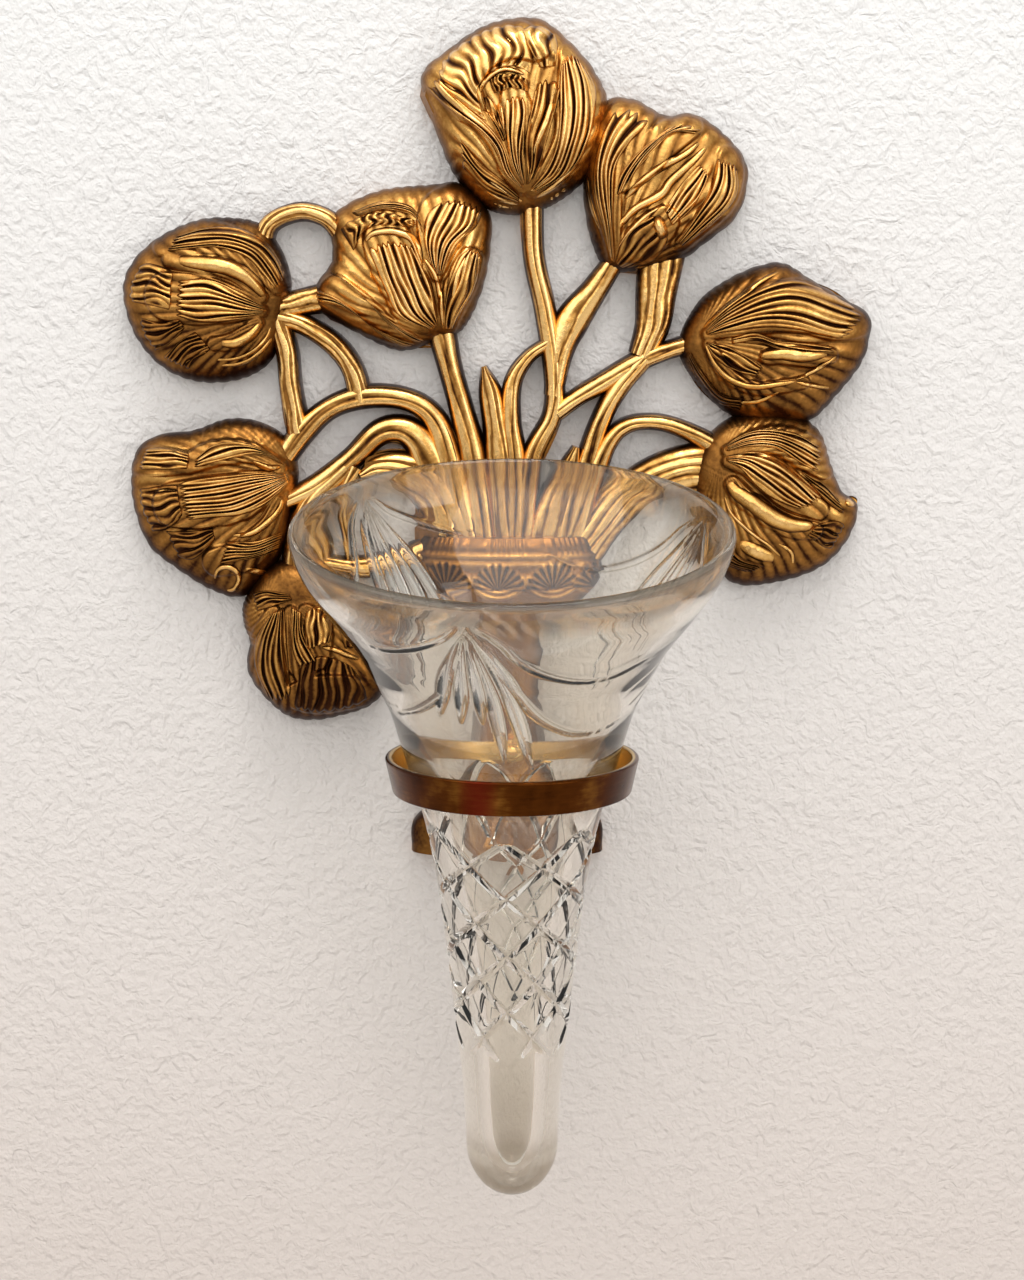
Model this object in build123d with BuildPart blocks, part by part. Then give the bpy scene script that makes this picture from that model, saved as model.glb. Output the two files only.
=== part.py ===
"""Wall mounted glass flower tube: an openwork brass plaque of tulips in an urn,
a ring that stands out from it on a screw and spacer, and a cut-glass tube that leans in the ring.

Millimetres. +X right, +Y into the wall, +Z up. The origin is on the wall face, behind the ring's screw.
"""

import math
import os

from build123d import *

# How the plaque's outlines were read: from pixels of a picture that looks down on the wall
picture_middle_pixels = (512, 640)
focal_pixels = 2080
looks_down = 8.8
plaque_span_pixels = 740
widest_row_pixels = 310
screw_row_pixels = 733

# Plaque, one brass casting
plaque_width = 226.0
casting_edge = 3.0
highest_crown = 15.0
back_overrun = 1.5
stem_crown = 7.5
stem_shoulder = 5.5
outline_corners = 32
pocket_skin = 3.2
petal_lift = 1.6
boss_radius = 8.0
boss_front = 15.0

# Ring, a flared band
ring_outer_radius = 36.6
ring_height = 10.0
ring_wall = 2.0
ring_taper = 2.2
spacer_length = 6.5
ring_edge_round = 0.6

# Screw that holds the ring, with its spacer and washer
screw_radius = 2.0
screw_hole_clearance = 0.15
screw_depth = 8.0
screw_head_radius = 3.9
screw_slot_width = 1.0
screw_slot_depth = 1.1
spacer_radius = 6.3
spacer_waist = 5.0
washer_radius = 4.6
washer_thickness = 0.9
cut_overrun = 1.0

# Glass tube, measured along its leaning axis from the plane of the ring's top
glass_lean = 13.6
glass_clearance = 0.3
glass_above_ring = 70.5
glass_below_ring = 150.0
rim_radius = 61.6
rim_slope = 0.15
rim_wall = 3.0
rim_round = 1.3
bowl_wall = 4.5
seat_gap = 2.0
throat_narrowing = 6.6
throat_below_ring = 16.8
throat_wall = 7.0
tube_end_radius = 14.0
bore_radius = 6.0
glass_floor = 10.0
cut_depth = 0.6
cuts_around = 7
cut_row_count = 9
first_cut_below_ring = 14.5
last_cut_below_ring = 98.5
# Share of the rise from seat to rim, and of the spread from seat radius to rim radius
flare_shares = (
    (0.0, 0.0), (0.155, 0.09), (0.33, 0.235), (0.455, 0.37), (0.546, 0.5), (0.652, 0.68), (0.79, 0.88),
    (0.91, 0.975), (1.0, 1.0),
)
# Share of the drop from throat to round end, and of the spread from end radius to throat radius
tube_shares = (
    (0.0, 1.0), (0.14, 0.74), (0.3, 0.52), (0.45, 0.38), (0.6, 0.26), (0.78, 0.12), (1.0, 0.0),
)
# Inside of the tube: share of its length below the throat, and of the round end's radius
bore_shares = ((0.62, 0.52), (0.36, 0.78), (0.16, 1.08))

# Hanger on the back of the top tulip
hanger_row_pixels = 100
hanger_column_pixels = 519
wire_radius = 1.2
wire_clearance = 0.06
wire_ring_radius = 8.0
wire_ring_leg = 4.0
wire_corner = 2.4
strap_thickness = 0.9
strap_width = 9.0
strap_length = 13.0
strap_behind_wall = 0.4
hanger_screw_radius = 1.5
hanger_screw_length = 5.0
hanger_head_radius = 3.0
hanger_head_height = 1.4
hanger_slot_width = 0.8
pad_radius = 6.5
hanger_room = 0.8

tilt_sine = math.sin(math.radians(looks_down))
tilt_cosine = math.cos(math.radians(looks_down))


def rise_share(row):
    """Height on the wall above the picture's middle, as a share of the viewing distance."""
    up = picture_middle_pixels[1] - row
    return up / (focal_pixels * tilt_cosine + up * tilt_sine)


def depth_share(row):
    """How far the wall at this row lies from the eye, as a share of the viewing distance."""
    return 1 - rise_share(row) * tilt_sine


viewing_distance = plaque_width * focal_pixels / (plaque_span_pixels * depth_share(widest_row_pixels))


def millimetres(pixels, row):
    """A length along the wall at this row."""
    return pixels * viewing_distance * depth_share(row) / focal_pixels


def on_wall(column, row):
    """The place on the wall that a pixel shows, as (x, z)."""
    x = millimetres(column - picture_middle_pixels[0], row)
    z = viewing_distance * (rise_share(row) - rise_share(screw_row_pixels))
    return x, z


# Each tulip's outline, in pixels
top_tulip_pixels = (
    (423, 80), (450, 52), (485, 29), (520, 21), (545, 25), (571, 47), (592, 72), (606, 104), (604, 150),
    (575, 188), (535, 211), (492, 210), (458, 178), (438, 132),
)
upper_right_tulip_pixels = (
    (604, 104), (633, 102), (664, 118), (690, 116), (716, 131), (740, 157), (745, 182), (734, 216),
    (705, 241), (672, 262), (613, 270), (592, 240), (584, 185), (588, 135),
)
centre_left_tulip_pixels = (
    (340, 212), (380, 193), (430, 187), (462, 186), (488, 214), (489, 250), (480, 292), (462, 328),
    (437, 338), (401, 349), (358, 331), (319, 308), (318, 286), (334, 262), (334, 235),
)
far_left_tulip_pixels = (
    (263, 227), (282, 252), (291, 285), (284, 318), (272, 358), (243, 377), (202, 380), (166, 366),
    (139, 335), (127, 295), (134, 266), (160, 240), (200, 222), (236, 220),
)
lower_left_tulip_pixels = (
    (159, 436), (196, 431), (228, 420), (258, 422), (286, 438), (298, 468), (293, 505), (285, 545),
    (262, 580), (240, 594), (212, 586), (180, 566), (154, 545), (141, 517), (135, 485), (139, 453),
)
drooping_tulip_pixels = (
    (247, 600), (268, 566), (300, 560), (330, 586), (355, 620), (375, 652), (385, 682), (370, 702),
    (340, 712), (314, 716), (288, 711), (262, 687), (250, 664), (253, 640), (247, 622),
)
right_tulip_pixels = (
    (682, 332), (701, 300), (727, 281), (756, 268), (782, 265), (810, 282), (838, 298), (865, 315),
    (866, 336), (858, 362), (834, 393), (806, 419), (766, 420), (728, 412), (699, 385), (681, 357),
)
lower_right_tulip_pixels = (
    (712, 432), (745, 412), (785, 411), (816, 431), (827, 462), (837, 488), (854, 505), (845, 536),
    (820, 563), (780, 578), (735, 581), (712, 556), (698, 515), (694, 468),
)
tulip_outlines_pixels = (
    top_tulip_pixels,
    upper_right_tulip_pixels,
    centre_left_tulip_pixels,
    far_left_tulip_pixels,
    lower_left_tulip_pixels,
    drooping_tulip_pixels,
    right_tulip_pixels,
    lower_right_tulip_pixels,
)
# How far each crown stands off the wall, as a share of the highest
crown_height_shares = (1.0, 0.9, 0.84, 0.84, 0.8, 0.84, 0.94, 0.87)
tulips = [
    (pixels, highest_crown * share) for pixels, share in zip(tulip_outlines_pixels, crown_height_shares)
]
# How a crown draws in: share of the outline kept, at a share of the rise above the casting's edge
crown_shares = ((1.0, 0.0), (0.94, 0.42), (0.79, 0.77), (0.53, 0.95), (0.2, 1.0))
# The hollow behind a crown keeps this share of its outline
pocket_outline_share = 0.8
# Stems and leaves rise in steps: share of the width, and height off the wall
stem_steps = ((1.0, casting_edge), (0.85, stem_shoulder), (0.5, stem_crown))

# Stems and leaves: (column, row, width) in pixels along the middle, from the flower to the urn
top_stem_pixels = (
    (532, 200, 22), (534, 257, 21), (545, 310, 21), (554, 375, 20), (552, 415, 20), (532, 460, 22),
    (522, 556, 26),
)
upper_right_stem_pixels = ((616, 258, 20), (594, 290, 26), (571, 322, 34), (560, 352, 26), (553, 395, 18))
upper_right_leaf_pixels = ((662, 250, 46), (656, 290, 40), (652, 325, 34), (640, 356, 24))
centre_left_stem_pixels = ((440, 322, 30), (450, 366, 24), (462, 410, 24), (474, 460, 28), (486, 556, 30))
pointed_leaf_pixels = ((484, 366, 5), (490, 390, 22), (496, 425, 26), (500, 470, 30), (506, 556, 30))
loop_leaf_pixels = (
    (549, 342, 12), (528, 357, 14), (513, 382, 18), (511, 420, 20), (516, 465, 22), (516, 556, 26),
)
far_left_top_loop_pixels = ((262, 250, 22), (272, 224, 18), (301, 212, 18), (328, 219, 18), (346, 238, 22))
far_left_bridge_pixels = ((270, 312, 26), (300, 303, 26), (336, 296, 30))
far_left_leg_pixels = ((276, 312, 22), (288, 350, 22), (292, 388, 22), (300, 432, 24))
far_left_arc_pixels = ((276, 316, 18), (306, 325, 20), (336, 345, 22), (354, 370, 22), (362, 402, 24))
long_left_stem_pixels = (
    (276, 470, 24), (302, 434, 24), (330, 408, 22), (366, 396, 24), (408, 399, 22), (436, 420, 24),
    (452, 470, 30), (470, 556, 34),
)
inner_left_stem_pixels = (
    (286, 500, 18), (318, 484, 22), (352, 458, 22), (382, 431, 26), (410, 432, 30), (430, 462, 36),
    (452, 556, 34),
)
inner_left_leaf_pixels = ((366, 468, 26), (400, 470, 44), (436, 492, 54), (470, 556, 56))
drooping_stem_pixels = ((298, 582, 28), (301, 550, 34), (306, 518, 30), (322, 490, 24), (348, 466, 22))
drooping_strand_pixels = ((358, 466, 18), (343, 498, 13), (339, 534, 13), (346, 568, 16))
drooping_leaf_pixels = ((300, 568, 20), (350, 572, 22), (396, 562, 26), (440, 552, 34), (476, 556, 30))
middle_right_stem_pixels = ((576, 446, 8), (566, 478, 30), (552, 520, 46), (545, 556, 50))
right_stem_pixels = (
    (704, 340, 20), (670, 349, 18), (636, 362, 20), (604, 381, 20), (578, 396, 18), (556, 412, 18),
)
right_stem_branch_pixels = ((644, 358, 18), (620, 385, 20), (602, 416, 20), (586, 462, 22), (560, 556, 26))
lower_right_stem_pixels = (
    (728, 455, 24), (694, 434, 18), (660, 422, 16), (628, 424, 16), (608, 442, 18), (592, 480, 24),
    (570, 556, 30),
)
lower_right_leaf_pixels = ((716, 468, 54), (684, 470, 50), (650, 482, 46), (616, 508, 44), (580, 556, 44))
stems = (
    top_stem_pixels,
    upper_right_stem_pixels,
    upper_right_leaf_pixels,
    centre_left_stem_pixels,
    pointed_leaf_pixels,
    loop_leaf_pixels,
    far_left_top_loop_pixels,
    far_left_bridge_pixels,
    far_left_leg_pixels,
    far_left_arc_pixels,
    long_left_stem_pixels,
    inner_left_stem_pixels,
    inner_left_leaf_pixels,
    drooping_stem_pixels,
    drooping_strand_pixels,
    drooping_leaf_pixels,
    middle_right_stem_pixels,
    right_stem_pixels,
    right_stem_branch_pixels,
    lower_right_stem_pixels,
    lower_right_leaf_pixels,
)

# Urn: rows and widths in pixels down its middle, and its crown as a share of the urn's depth
urn_column_pixels = 507
urn_depth = 14.0
urn_edge = 2.5
urn_pixels = (
    (536, 172), (556, 188), (578, 190), (600, 156), (626, 104), (650, 78), (690, 66), (715, 78), (733, 88),
    (752, 78), (775, 92), (800, 146), (820, 188), (848, 190),
)
urn_crown_shares = (0.86, 1.0, 1.0, 0.93, 0.78, 0.66, 0.62, 0.78, 0.84, 0.78, 0.72, 0.8, 0.92, 0.9)

# The main petals of each tulip, in the tulips' order: (column, row, width) along the middle of each
petals = (
    (
        ((522, 191, 6), (508, 172, 10), (499, 147, 12), (484, 128, 14), (464, 113, 14), (431, 81, 12)),
        ((524, 187, 8), (517, 165, 15), (515, 138, 21), (515, 113, 24), (514, 97, 16)),
        ((532, 193, 8), (558, 171, 26), (573, 144, 32), (577, 114, 38), (578, 83, 34), (571, 58, 18)),
        ((470, 112, 24), (463, 85, 32), (480, 57, 34), (510, 44, 34), (535, 52, 24)),
    ),
    (
        ((613, 262, 6), (609, 228, 14), (604, 195, 22), (605, 165, 26), (616, 138, 34), (632, 115, 36)),
        ((620, 188, 8), (638, 168, 24), (658, 146, 28), (685, 128, 22)),
        ((617, 266, 8), (632, 250, 26), (648, 236, 32), (660, 224, 24)),
        ((679, 246, 8), (702, 222, 16), (718, 203, 22), (725, 182, 24), (727, 161, 20)),
    ),
    (
        ((438, 276, 6), (438, 260, 20), (441, 240, 32), (447, 218, 46), (461, 204, 38)),
        ((435, 328, 10), (418, 312, 32), (409, 288, 40), (397, 263, 42), (390, 244, 40)),
        ((448, 330, 10), (453, 308, 18), (462, 285, 24), (471, 262, 20)),
        ((432, 345, 6), (409, 338, 12), (385, 327, 20), (362, 311, 28), (338, 294, 30)),
    ),
    (
        ((282, 286, 12), (268, 266, 20), (250, 250, 24), (222, 240, 26), (194, 239, 28), (169, 246, 16)),
        ((265, 297, 8), (252, 282, 10), (236, 271, 12), (214, 266, 13), (190, 263, 12), (176, 261, 8)),
        ((266, 311, 6), (239, 304, 28), (206, 300, 42), (176, 297, 40)),
        ((262, 322, 6), (250, 334, 9), (236, 342, 10), (220, 343, 7)),
    ),
    (
        ((285, 464, 6), (260, 451, 12), (236, 449, 18), (212, 453, 18), (194, 462, 12)),
        ((290, 476, 8), (260, 487, 32), (236, 495, 42), (204, 500, 42), (182, 501, 38)),
        ((282, 500, 8), (276, 520, 14), (262, 540, 26), (246, 552, 26), (222, 558, 22)),
        ((190, 460, 16), (163, 459, 22), (141, 459, 20)),
    ),
    (
        ((296, 608, 10), (298, 633, 14), (303, 654, 18), (309, 666, 16)),
        ((311, 608, 14), (320, 625, 26), (319, 648, 24)),
        ((278, 608, 10), (270, 640, 30), (271, 671, 34), (282, 698, 22)),
        ((292, 690, 14), (320, 688, 34), (348, 686, 32), (370, 688, 20)),
    ),
    (
        ((704, 334, 6), (730, 320, 24), (763, 309, 40), (797, 306, 46), (831, 314, 44), (855, 320, 26)),
        ((761, 356, 8), (783, 355, 11), (804, 357, 11), (824, 355, 8)),
        ((705, 344, 6), (715, 365, 7), (731, 380, 7), (753, 387, 7), (781, 384, 7), (797, 381, 6)),
    ),
    (
        ((724, 449, 6), (750, 439, 16), (775, 438, 22), (800, 449, 28), (820, 461, 24)),
        ((724, 459, 6), (746, 463, 16), (765, 474, 26), (785, 490, 26), (812, 506, 14)),
        ((728, 481, 10), (736, 492, 13), (752, 503, 14), (770, 516, 14), (788, 524, 14), (807, 526, 12)),
    ),
)


def sampled_outline(pixels):
    """Evenly spread corners of the smooth closed curve through a tulip's outline."""
    with BuildLine() as outline:
        Spline(*[on_wall(*place) for place in pixels], periodic=True)
    curve = outline.line
    return [curve @ (k / outline_corners) for k in range(outline_corners)]


def outline_face(corners, off_wall, share=1.0):
    """A tulip's outline at a height off the wall, drawn in about its middle by a share."""
    middle = sum(corners, Vector()) / len(corners)
    with BuildSketch(Plane.XZ.offset(off_wall)) as outline:
        with BuildLine():
            Polyline(*[middle + (corner - middle) * share for corner in corners], close=True)
        make_face()
    return outline.sketch


def tulip_crown(pixels, crown, base, share=1.0):
    """A domed solid over a tulip's outline, from base up to crown off the wall."""
    corners = sampled_outline(pixels)
    sections = [
        outline_face(corners, base + (crown - base) * rise_step_share, kept_share * share)
        for kept_share, rise_step_share in crown_shares
    ]
    with BuildPart() as dome:
        loft(sections, ruled=True)
    return dome.part


def bar_face(pixels, share=1.0):
    """A stem or leaf seen from the front: a smooth strip whose width follows the table by a share."""
    places = [Vector(*on_wall(column, row)) for column, row, width in pixels]
    last = len(places) - 1
    left, right = [], []
    for k, (column, row, width) in enumerate(pixels):
        run = (places[min(k + 1, last)] - places[max(k - 1, 0)]).normalized()
        aside = Vector(-run.Y, run.X) * (millimetres(width, row) * share / 2)
        left.append(places[k] + aside)
        right.append(places[k] - aside)
    with BuildSketch(Plane.XZ) as strip:
        with BuildLine():
            Spline(*left)
            Spline(*right)
            Line(left[0], right[0])
            Line(left[-1], right[-1])
        make_face()
    return strip.sketch


def tulip_petals(pixels, crown, bars):
    """The main petals of a tulip: strips that stand one lift above its dome."""
    with BuildPart() as raised:
        with BuildSketch(Plane.XZ):
            add([bar_face(bar) for bar in bars])
        extrude(amount=crown + petal_lift + back_overrun)
        add(tulip_crown(pixels, crown + petal_lift, casting_edge), mode=Mode.INTERSECT)
    return raised.part


def urn_relief():
    """The urn in half relief, lofted down its middle and trimmed at the wall face."""
    sections = []
    for (row, width), crown_share in zip(urn_pixels, urn_crown_shares):
        x, z = on_wall(urn_column_pixels, row)
        half = millimetres(width, row) / 2
        with BuildSketch(Plane(origin=(x, 0, z), x_dir=(1, 0, 0), z_dir=(0, 0, -1))) as section:
            with BuildLine():
                Polyline((-half, urn_edge), (-half, -back_overrun), (half, -back_overrun), (half, urn_edge))
                ThreePointArc((half, urn_edge), (0, urn_depth * crown_share), (-half, urn_edge))
            make_face()
        sections.append(section.sketch)
    with BuildPart() as urn:
        loft(sections, ruled=True)
        split(bisect_by=Plane.XZ, keep=Keep.TOP)
    return urn.part


# Places worked out from the sizes above
lean_sine = math.sin(math.radians(glass_lean))
lean_cosine = math.cos(math.radians(glass_lean))
ring_top = ring_height / 2
ring_inner_radius = ring_outer_radius - ring_wall
ring_middle_radius = ring_outer_radius - ring_taper / 2
ring_back = boss_front + spacer_length
ring_stand_off = ring_back + ring_middle_radius
ring_slope = ring_taper / ring_height
washer_front = ring_back + ring_wall + ring_slope * washer_radius + washer_thickness

# The glass touches the ring's front edge, one clearance off, on a straight stretch of its throat
seat_radius = ring_inner_radius - seat_gap
throat_radius = seat_radius - throat_narrowing
seat_station = ring_inner_radius * lean_sine
glass_shift = ring_inner_radius * lean_cosine - glass_clearance - seat_radius
throat_slope = (seat_radius - throat_radius) / (seat_station + throat_below_ring)
glass_origin = Vector(0, -ring_stand_off - glass_shift * lean_cosine, ring_top - glass_shift * lean_sine)
glass_up = Vector(0, -lean_sine, lean_cosine)
glass_plane = Plane(origin=glass_origin, x_dir=(1, 0, 0), z_dir=(0, -lean_cosine, -lean_sine))
glass_axis = Axis(glass_origin, glass_up)
glass_foot_plane = Plane(origin=glass_origin, x_dir=(1, 0, 0), z_dir=-glass_up)
tube_end_below_ring = glass_below_ring - tube_end_radius

# Behind the glass, at the screw's height, the head rises to one clearance off it
axis_radius = seat_radius - throat_slope * seat_station
screw_station = -(glass_origin.Z + axis_radius * lean_sine) / (lean_cosine + throat_slope * lean_sine)
screw_glass_radius = axis_radius + throat_slope * screw_station
glass_back = -glass_origin.Y + screw_station * lean_sine - screw_glass_radius * lean_cosine
screw_head_front = glass_back - glass_clearance / lean_cosine
screw_head_rise = screw_head_front - washer_front
head_dome_radius = (screw_head_radius**2 + screw_head_rise**2) / (2 * screw_head_rise)

hanger_x, hanger_z = on_wall(hanger_column_pixels, hanger_row_pixels)
barrel_radius = wire_radius + wire_clearance + strap_thickness
wire_depth = strap_behind_wall + barrel_radius
pad_rear = wire_depth + barrel_radius
hanger_plane = Plane(origin=(hanger_x, -wire_depth, hanger_z), x_dir=(1, 0, 0), z_dir=(0, -1, 0))
hanger_screw_rise = pad_radius - strap_length
hanger_screw_plane = Plane(
    origin=(hanger_x, strap_thickness - pad_rear, hanger_z + hanger_screw_rise),
    x_dir=(1, 0, 0),
    z_dir=(0, -1, 0),
)


def ring_cone(top_radius, cone_height=ring_height):
    """A solid of the ring's taper about the ring's middle, with this radius at the ring's top."""
    spread = ring_slope * (cone_height - ring_height) / 2
    with BuildPart() as cone:
        with Locations((0, -ring_stand_off, 0)):
            Cone(top_radius - ring_taper - spread, top_radius + spread, cone_height)
    return cone.part


# What is hollow in the casting: behind each crown, round the hanger and its pad, and the two screw holes
with BuildPart() as hollows:
    add(
        [
            tulip_crown(pixels, crown - pocket_skin, -back_overrun, pocket_outline_share)
            for pixels, crown in tulips
        ]
    )
    with BuildSketch(Plane.XZ.offset(-back_overrun)) as room:
        with Locations((hanger_x, hanger_z + wire_ring_leg + wire_corner)):
            Circle(wire_ring_radius + wire_radius + hanger_room)
        with Locations((hanger_x, hanger_z + (wire_ring_leg + wire_corner) / 2)):
            Rectangle(
                2 * (wire_ring_radius + wire_radius + hanger_room),
                wire_ring_leg + wire_corner + 2 * (barrel_radius + hanger_room),
            )
    extrude(amount=back_overrun + pad_rear)
    with BuildSketch(Plane.XZ.offset(pad_rear)) as pad:
        with Locations((hanger_x, hanger_z + hanger_screw_rise)):
            Circle(pad_radius)
            Circle(hanger_screw_radius, mode=Mode.SUBTRACT)
    extrude(amount=highest_crown, mode=Mode.SUBTRACT)
    with BuildSketch(Plane.XZ.offset(boss_front - screw_depth)) as boss_hole:
        Circle(screw_radius)
    extrude(amount=screw_depth + cut_overrun)

# tulip_plaque: one openwork casting, flat behind
with BuildPart() as tulip_plaque:
    for step_share, step_height in stem_steps:
        with BuildSketch(Plane.XZ) as bars:
            add([bar_face(pixels, step_share) for pixels in stems])
        extrude(amount=step_height)
    with BuildSketch(Plane.XZ) as slabs:
        add([outline_face(sampled_outline(pixels), 0) for pixels, crown in tulips])
    extrude(amount=casting_edge)
    with BuildSketch(Plane.XZ) as boss:
        Circle(boss_radius)
    extrude(amount=boss_front)
    add([tulip_crown(pixels, crown, casting_edge) for pixels, crown in tulips] + [urn_relief()])
    add([tulip_petals(pixels, crown, bars) for (pixels, crown), bars in zip(tulips, petals)])
    add(hollows.part, mode=Mode.SUBTRACT)
tulip_plaque.part.label = "tulip_plaque"

# holder_ring: a flared band with its edges rounded and one hole at the back for the screw
with BuildPart() as holder_ring:
    add(ring_cone(ring_outer_radius))
    add(ring_cone(ring_inner_radius, ring_height + 2 * cut_overrun), mode=Mode.SUBTRACT)
    fillet(holder_ring.edges().filter_by(GeomType.CIRCLE), ring_edge_round)
    with BuildSketch(Plane.XZ) as ring_hole:
        Circle(screw_radius + screw_hole_clearance)
    extrude(amount=ring_stand_off, mode=Mode.SUBTRACT)
holder_ring.part.label = "holder_ring"

# ring_spacer: a waisted turning from the plaque's boss to the ring, its front end cut to the ring's flare
with BuildPart() as ring_spacer:
    with BuildSketch(Plane.XY) as spacer_profile:
        with BuildLine():
            ThreePointArc(
                (spacer_radius, -boss_front),
                (spacer_waist, -(boss_front + ring_back) / 2),
                (spacer_radius, -ring_back),
            )
            Polyline(
                (spacer_radius, -ring_back),
                (spacer_radius, -ring_stand_off),
                (0, -ring_stand_off),
                (0, -boss_front),
                (spacer_radius, -boss_front),
            )
        make_face()
    revolve(axis=Axis.Y)
    add(ring_cone(ring_outer_radius, 2 * spacer_radius + ring_height), mode=Mode.SUBTRACT)
    with BuildSketch(Plane.XZ) as spacer_bore:
        Circle(screw_radius + screw_hole_clearance)
    extrude(amount=ring_stand_off, mode=Mode.SUBTRACT)
ring_spacer.part.label = "ring_spacer"

# ring_washer: a disc inside the ring, its back shaped to the flare and its front flat
with BuildPart() as ring_washer:
    with BuildSketch(Plane.XZ.offset(ring_back)) as washer_disc:
        Circle(washer_radius)
        Circle(screw_radius + screw_hole_clearance, mode=Mode.SUBTRACT)
    extrude(amount=washer_front - ring_back)
    add(ring_cone(ring_inner_radius, 2 * washer_radius + ring_height), mode=Mode.INTERSECT)
ring_washer.part.label = "ring_washer"

# ring_screw: a slotted screw with a domed head, which the glass leans on
with BuildPart() as ring_screw:
    with BuildSketch(Plane.XY) as head_profile:
        with BuildLine():
            Polyline((0, -screw_head_front), (0, -washer_front), (screw_head_radius, -washer_front))
            RadiusArc((screw_head_radius, -washer_front), (0, -screw_head_front), head_dome_radius)
        make_face()
    revolve(axis=Axis.Y)
    with BuildSketch(Plane.XZ.offset(boss_front - screw_depth)) as screw_shank:
        Circle(screw_radius)
    extrude(amount=washer_front - boss_front + screw_depth)
    with BuildSketch(Plane.XZ.offset(screw_head_front - screw_slot_depth)) as screw_slot:
        Rectangle(3 * screw_head_radius, screw_slot_width)
    extrude(amount=2 * screw_slot_depth, mode=Mode.SUBTRACT)
ring_screw.part.label = "ring_screw"


def flare_points(wall=0.0):
    """Corners of the bowl's side from the seat up to the rim, set in by the wall."""
    rise, spread = glass_above_ring - seat_station, rim_radius - seat_radius
    return [(seat_radius + spread * out - wall, seat_station + rise * up) for up, out in flare_shares]


def tube_points():
    """Corners of the tube's outside from the throat down to where its round end begins."""
    drop, spread = throat_below_ring - tube_end_below_ring, throat_radius - tube_end_radius
    return [(tube_end_radius + spread * out, -throat_below_ring + drop * down) for down, out in tube_shares]


def bore_points():
    """Corners of the tube's inside from its round floor up towards the throat."""
    drop = throat_below_ring - tube_end_below_ring
    return [(tube_end_radius * out, -throat_below_ring + drop * down) for down, out in bore_shares]


def outside_radius(below_ring, outside):
    """Radius of the glass's outside this far below the ring's top, read between its sampled places."""
    if below_ring <= throat_below_ring:
        return throat_radius + throat_slope * (throat_below_ring - below_ring)
    for (upper, upper_radius), (lower, lower_radius) in zip(outside, outside[1:]):
        if upper <= below_ring <= lower:
            part = (below_ring - upper) / (lower - upper)
            return upper_radius + part * (lower_radius - upper_radius)
    return tube_end_radius


def cut_core(outside):
    """What the diamond cuts leave of the tube: flat facets that rise from the cuts' crossings."""
    cut_pitch = (last_cut_below_ring - first_cut_below_ring) / (cut_row_count - 1)
    corner_count = 2 * cuts_around
    clear_share = 1.01 / math.cos(math.pi / corner_count)
    rows = []
    for row in range(cut_row_count):
        below_ring = first_cut_below_ring + row * cut_pitch
        radius = outside_radius(below_ring, outside)
        corners = []
        for k in range(corner_count):
            reach = radius - cut_depth if (k + row) % 2 == 0 else radius
            if row in (0, cut_row_count - 1):
                reach = radius * clear_share
            angle = 2 * math.pi * k / corner_count
            place = Vector(reach * math.sin(angle), -below_ring, reach * math.cos(angle))
            corners.append(glass_plane.from_local_coords(place))
        rows.append(corners)
    facets = [Face(Wire.make_polygon(rows[0])), Face(Wire.make_polygon(rows[-1]))]
    for row, (above, below) in enumerate(zip(rows, rows[1:])):
        for k in range(corner_count):
            after = (k + 1) % corner_count
            if (k + row) % 2 == 0:
                halves = (above[k], above[after], below[after]), (above[k], below[after], below[k])
            else:
                halves = (above[k], above[after], below[k]), (above[after], below[after], below[k])
            facets += [Face(Wire.make_polygon(half)) for half in halves]
    return Solid(Shell(facets))


# glass_tube: a trumpet revolved about its leaning axis, thick at the throat and the foot
bore_foot = tube_end_below_ring + tube_end_radius - glass_floor
with BuildPart() as glass_tube:
    with BuildSketch(glass_plane) as glass_profile:
        with BuildLine():
            flare = Spline(*flare_points(), tangents=[(throat_slope, 1), (rim_slope, 1)])
            throat = Line((throat_radius, -throat_below_ring), flare @ 0)
            tube = Spline(*tube_points(), tangents=[(-throat_slope, -1), (0, -1)])
            foot = RadiusArc(tube @ 1, (0, -tube_end_below_ring - tube_end_radius), tube_end_radius)
            floor = Line(foot @ 1, (0, -bore_foot))
            bore_end = RadiusArc((0, -bore_foot), (bore_radius, bore_radius - bore_foot), -bore_radius)
            inside = Spline(
                bore_end @ 1,
                *bore_points(),
                (throat_radius - throat_wall, -throat_below_ring),
                *[(r - bowl_wall, s) for r, s in flare_points()[1:-2]],
                (rim_radius - rim_wall, glass_above_ring),
                tangents=[(0, 1), (rim_slope, 1)],
            )
            Line(inside @ 1, flare @ 1)
        make_face()
    revolve(axis=glass_axis)
    fillet(glass_tube.edges().filter_by(GeomType.CIRCLE).sort_by(Axis.Z)[-2:], rim_round)
    samples = [tube @ (k / outline_corners) for k in range(outline_corners + 1)]
    outside = [(-place.Y, place.X) for place in samples]
    with BuildPart(mode=Mode.SUBTRACT):
        with BuildSketch(glass_foot_plane.offset(first_cut_below_ring)):
            Circle(rim_radius)
        extrude(amount=last_cut_below_ring - first_cut_below_ring)
        add(cut_core(outside), mode=Mode.SUBTRACT)
glass_tube.part.label = "glass_tube"

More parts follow.
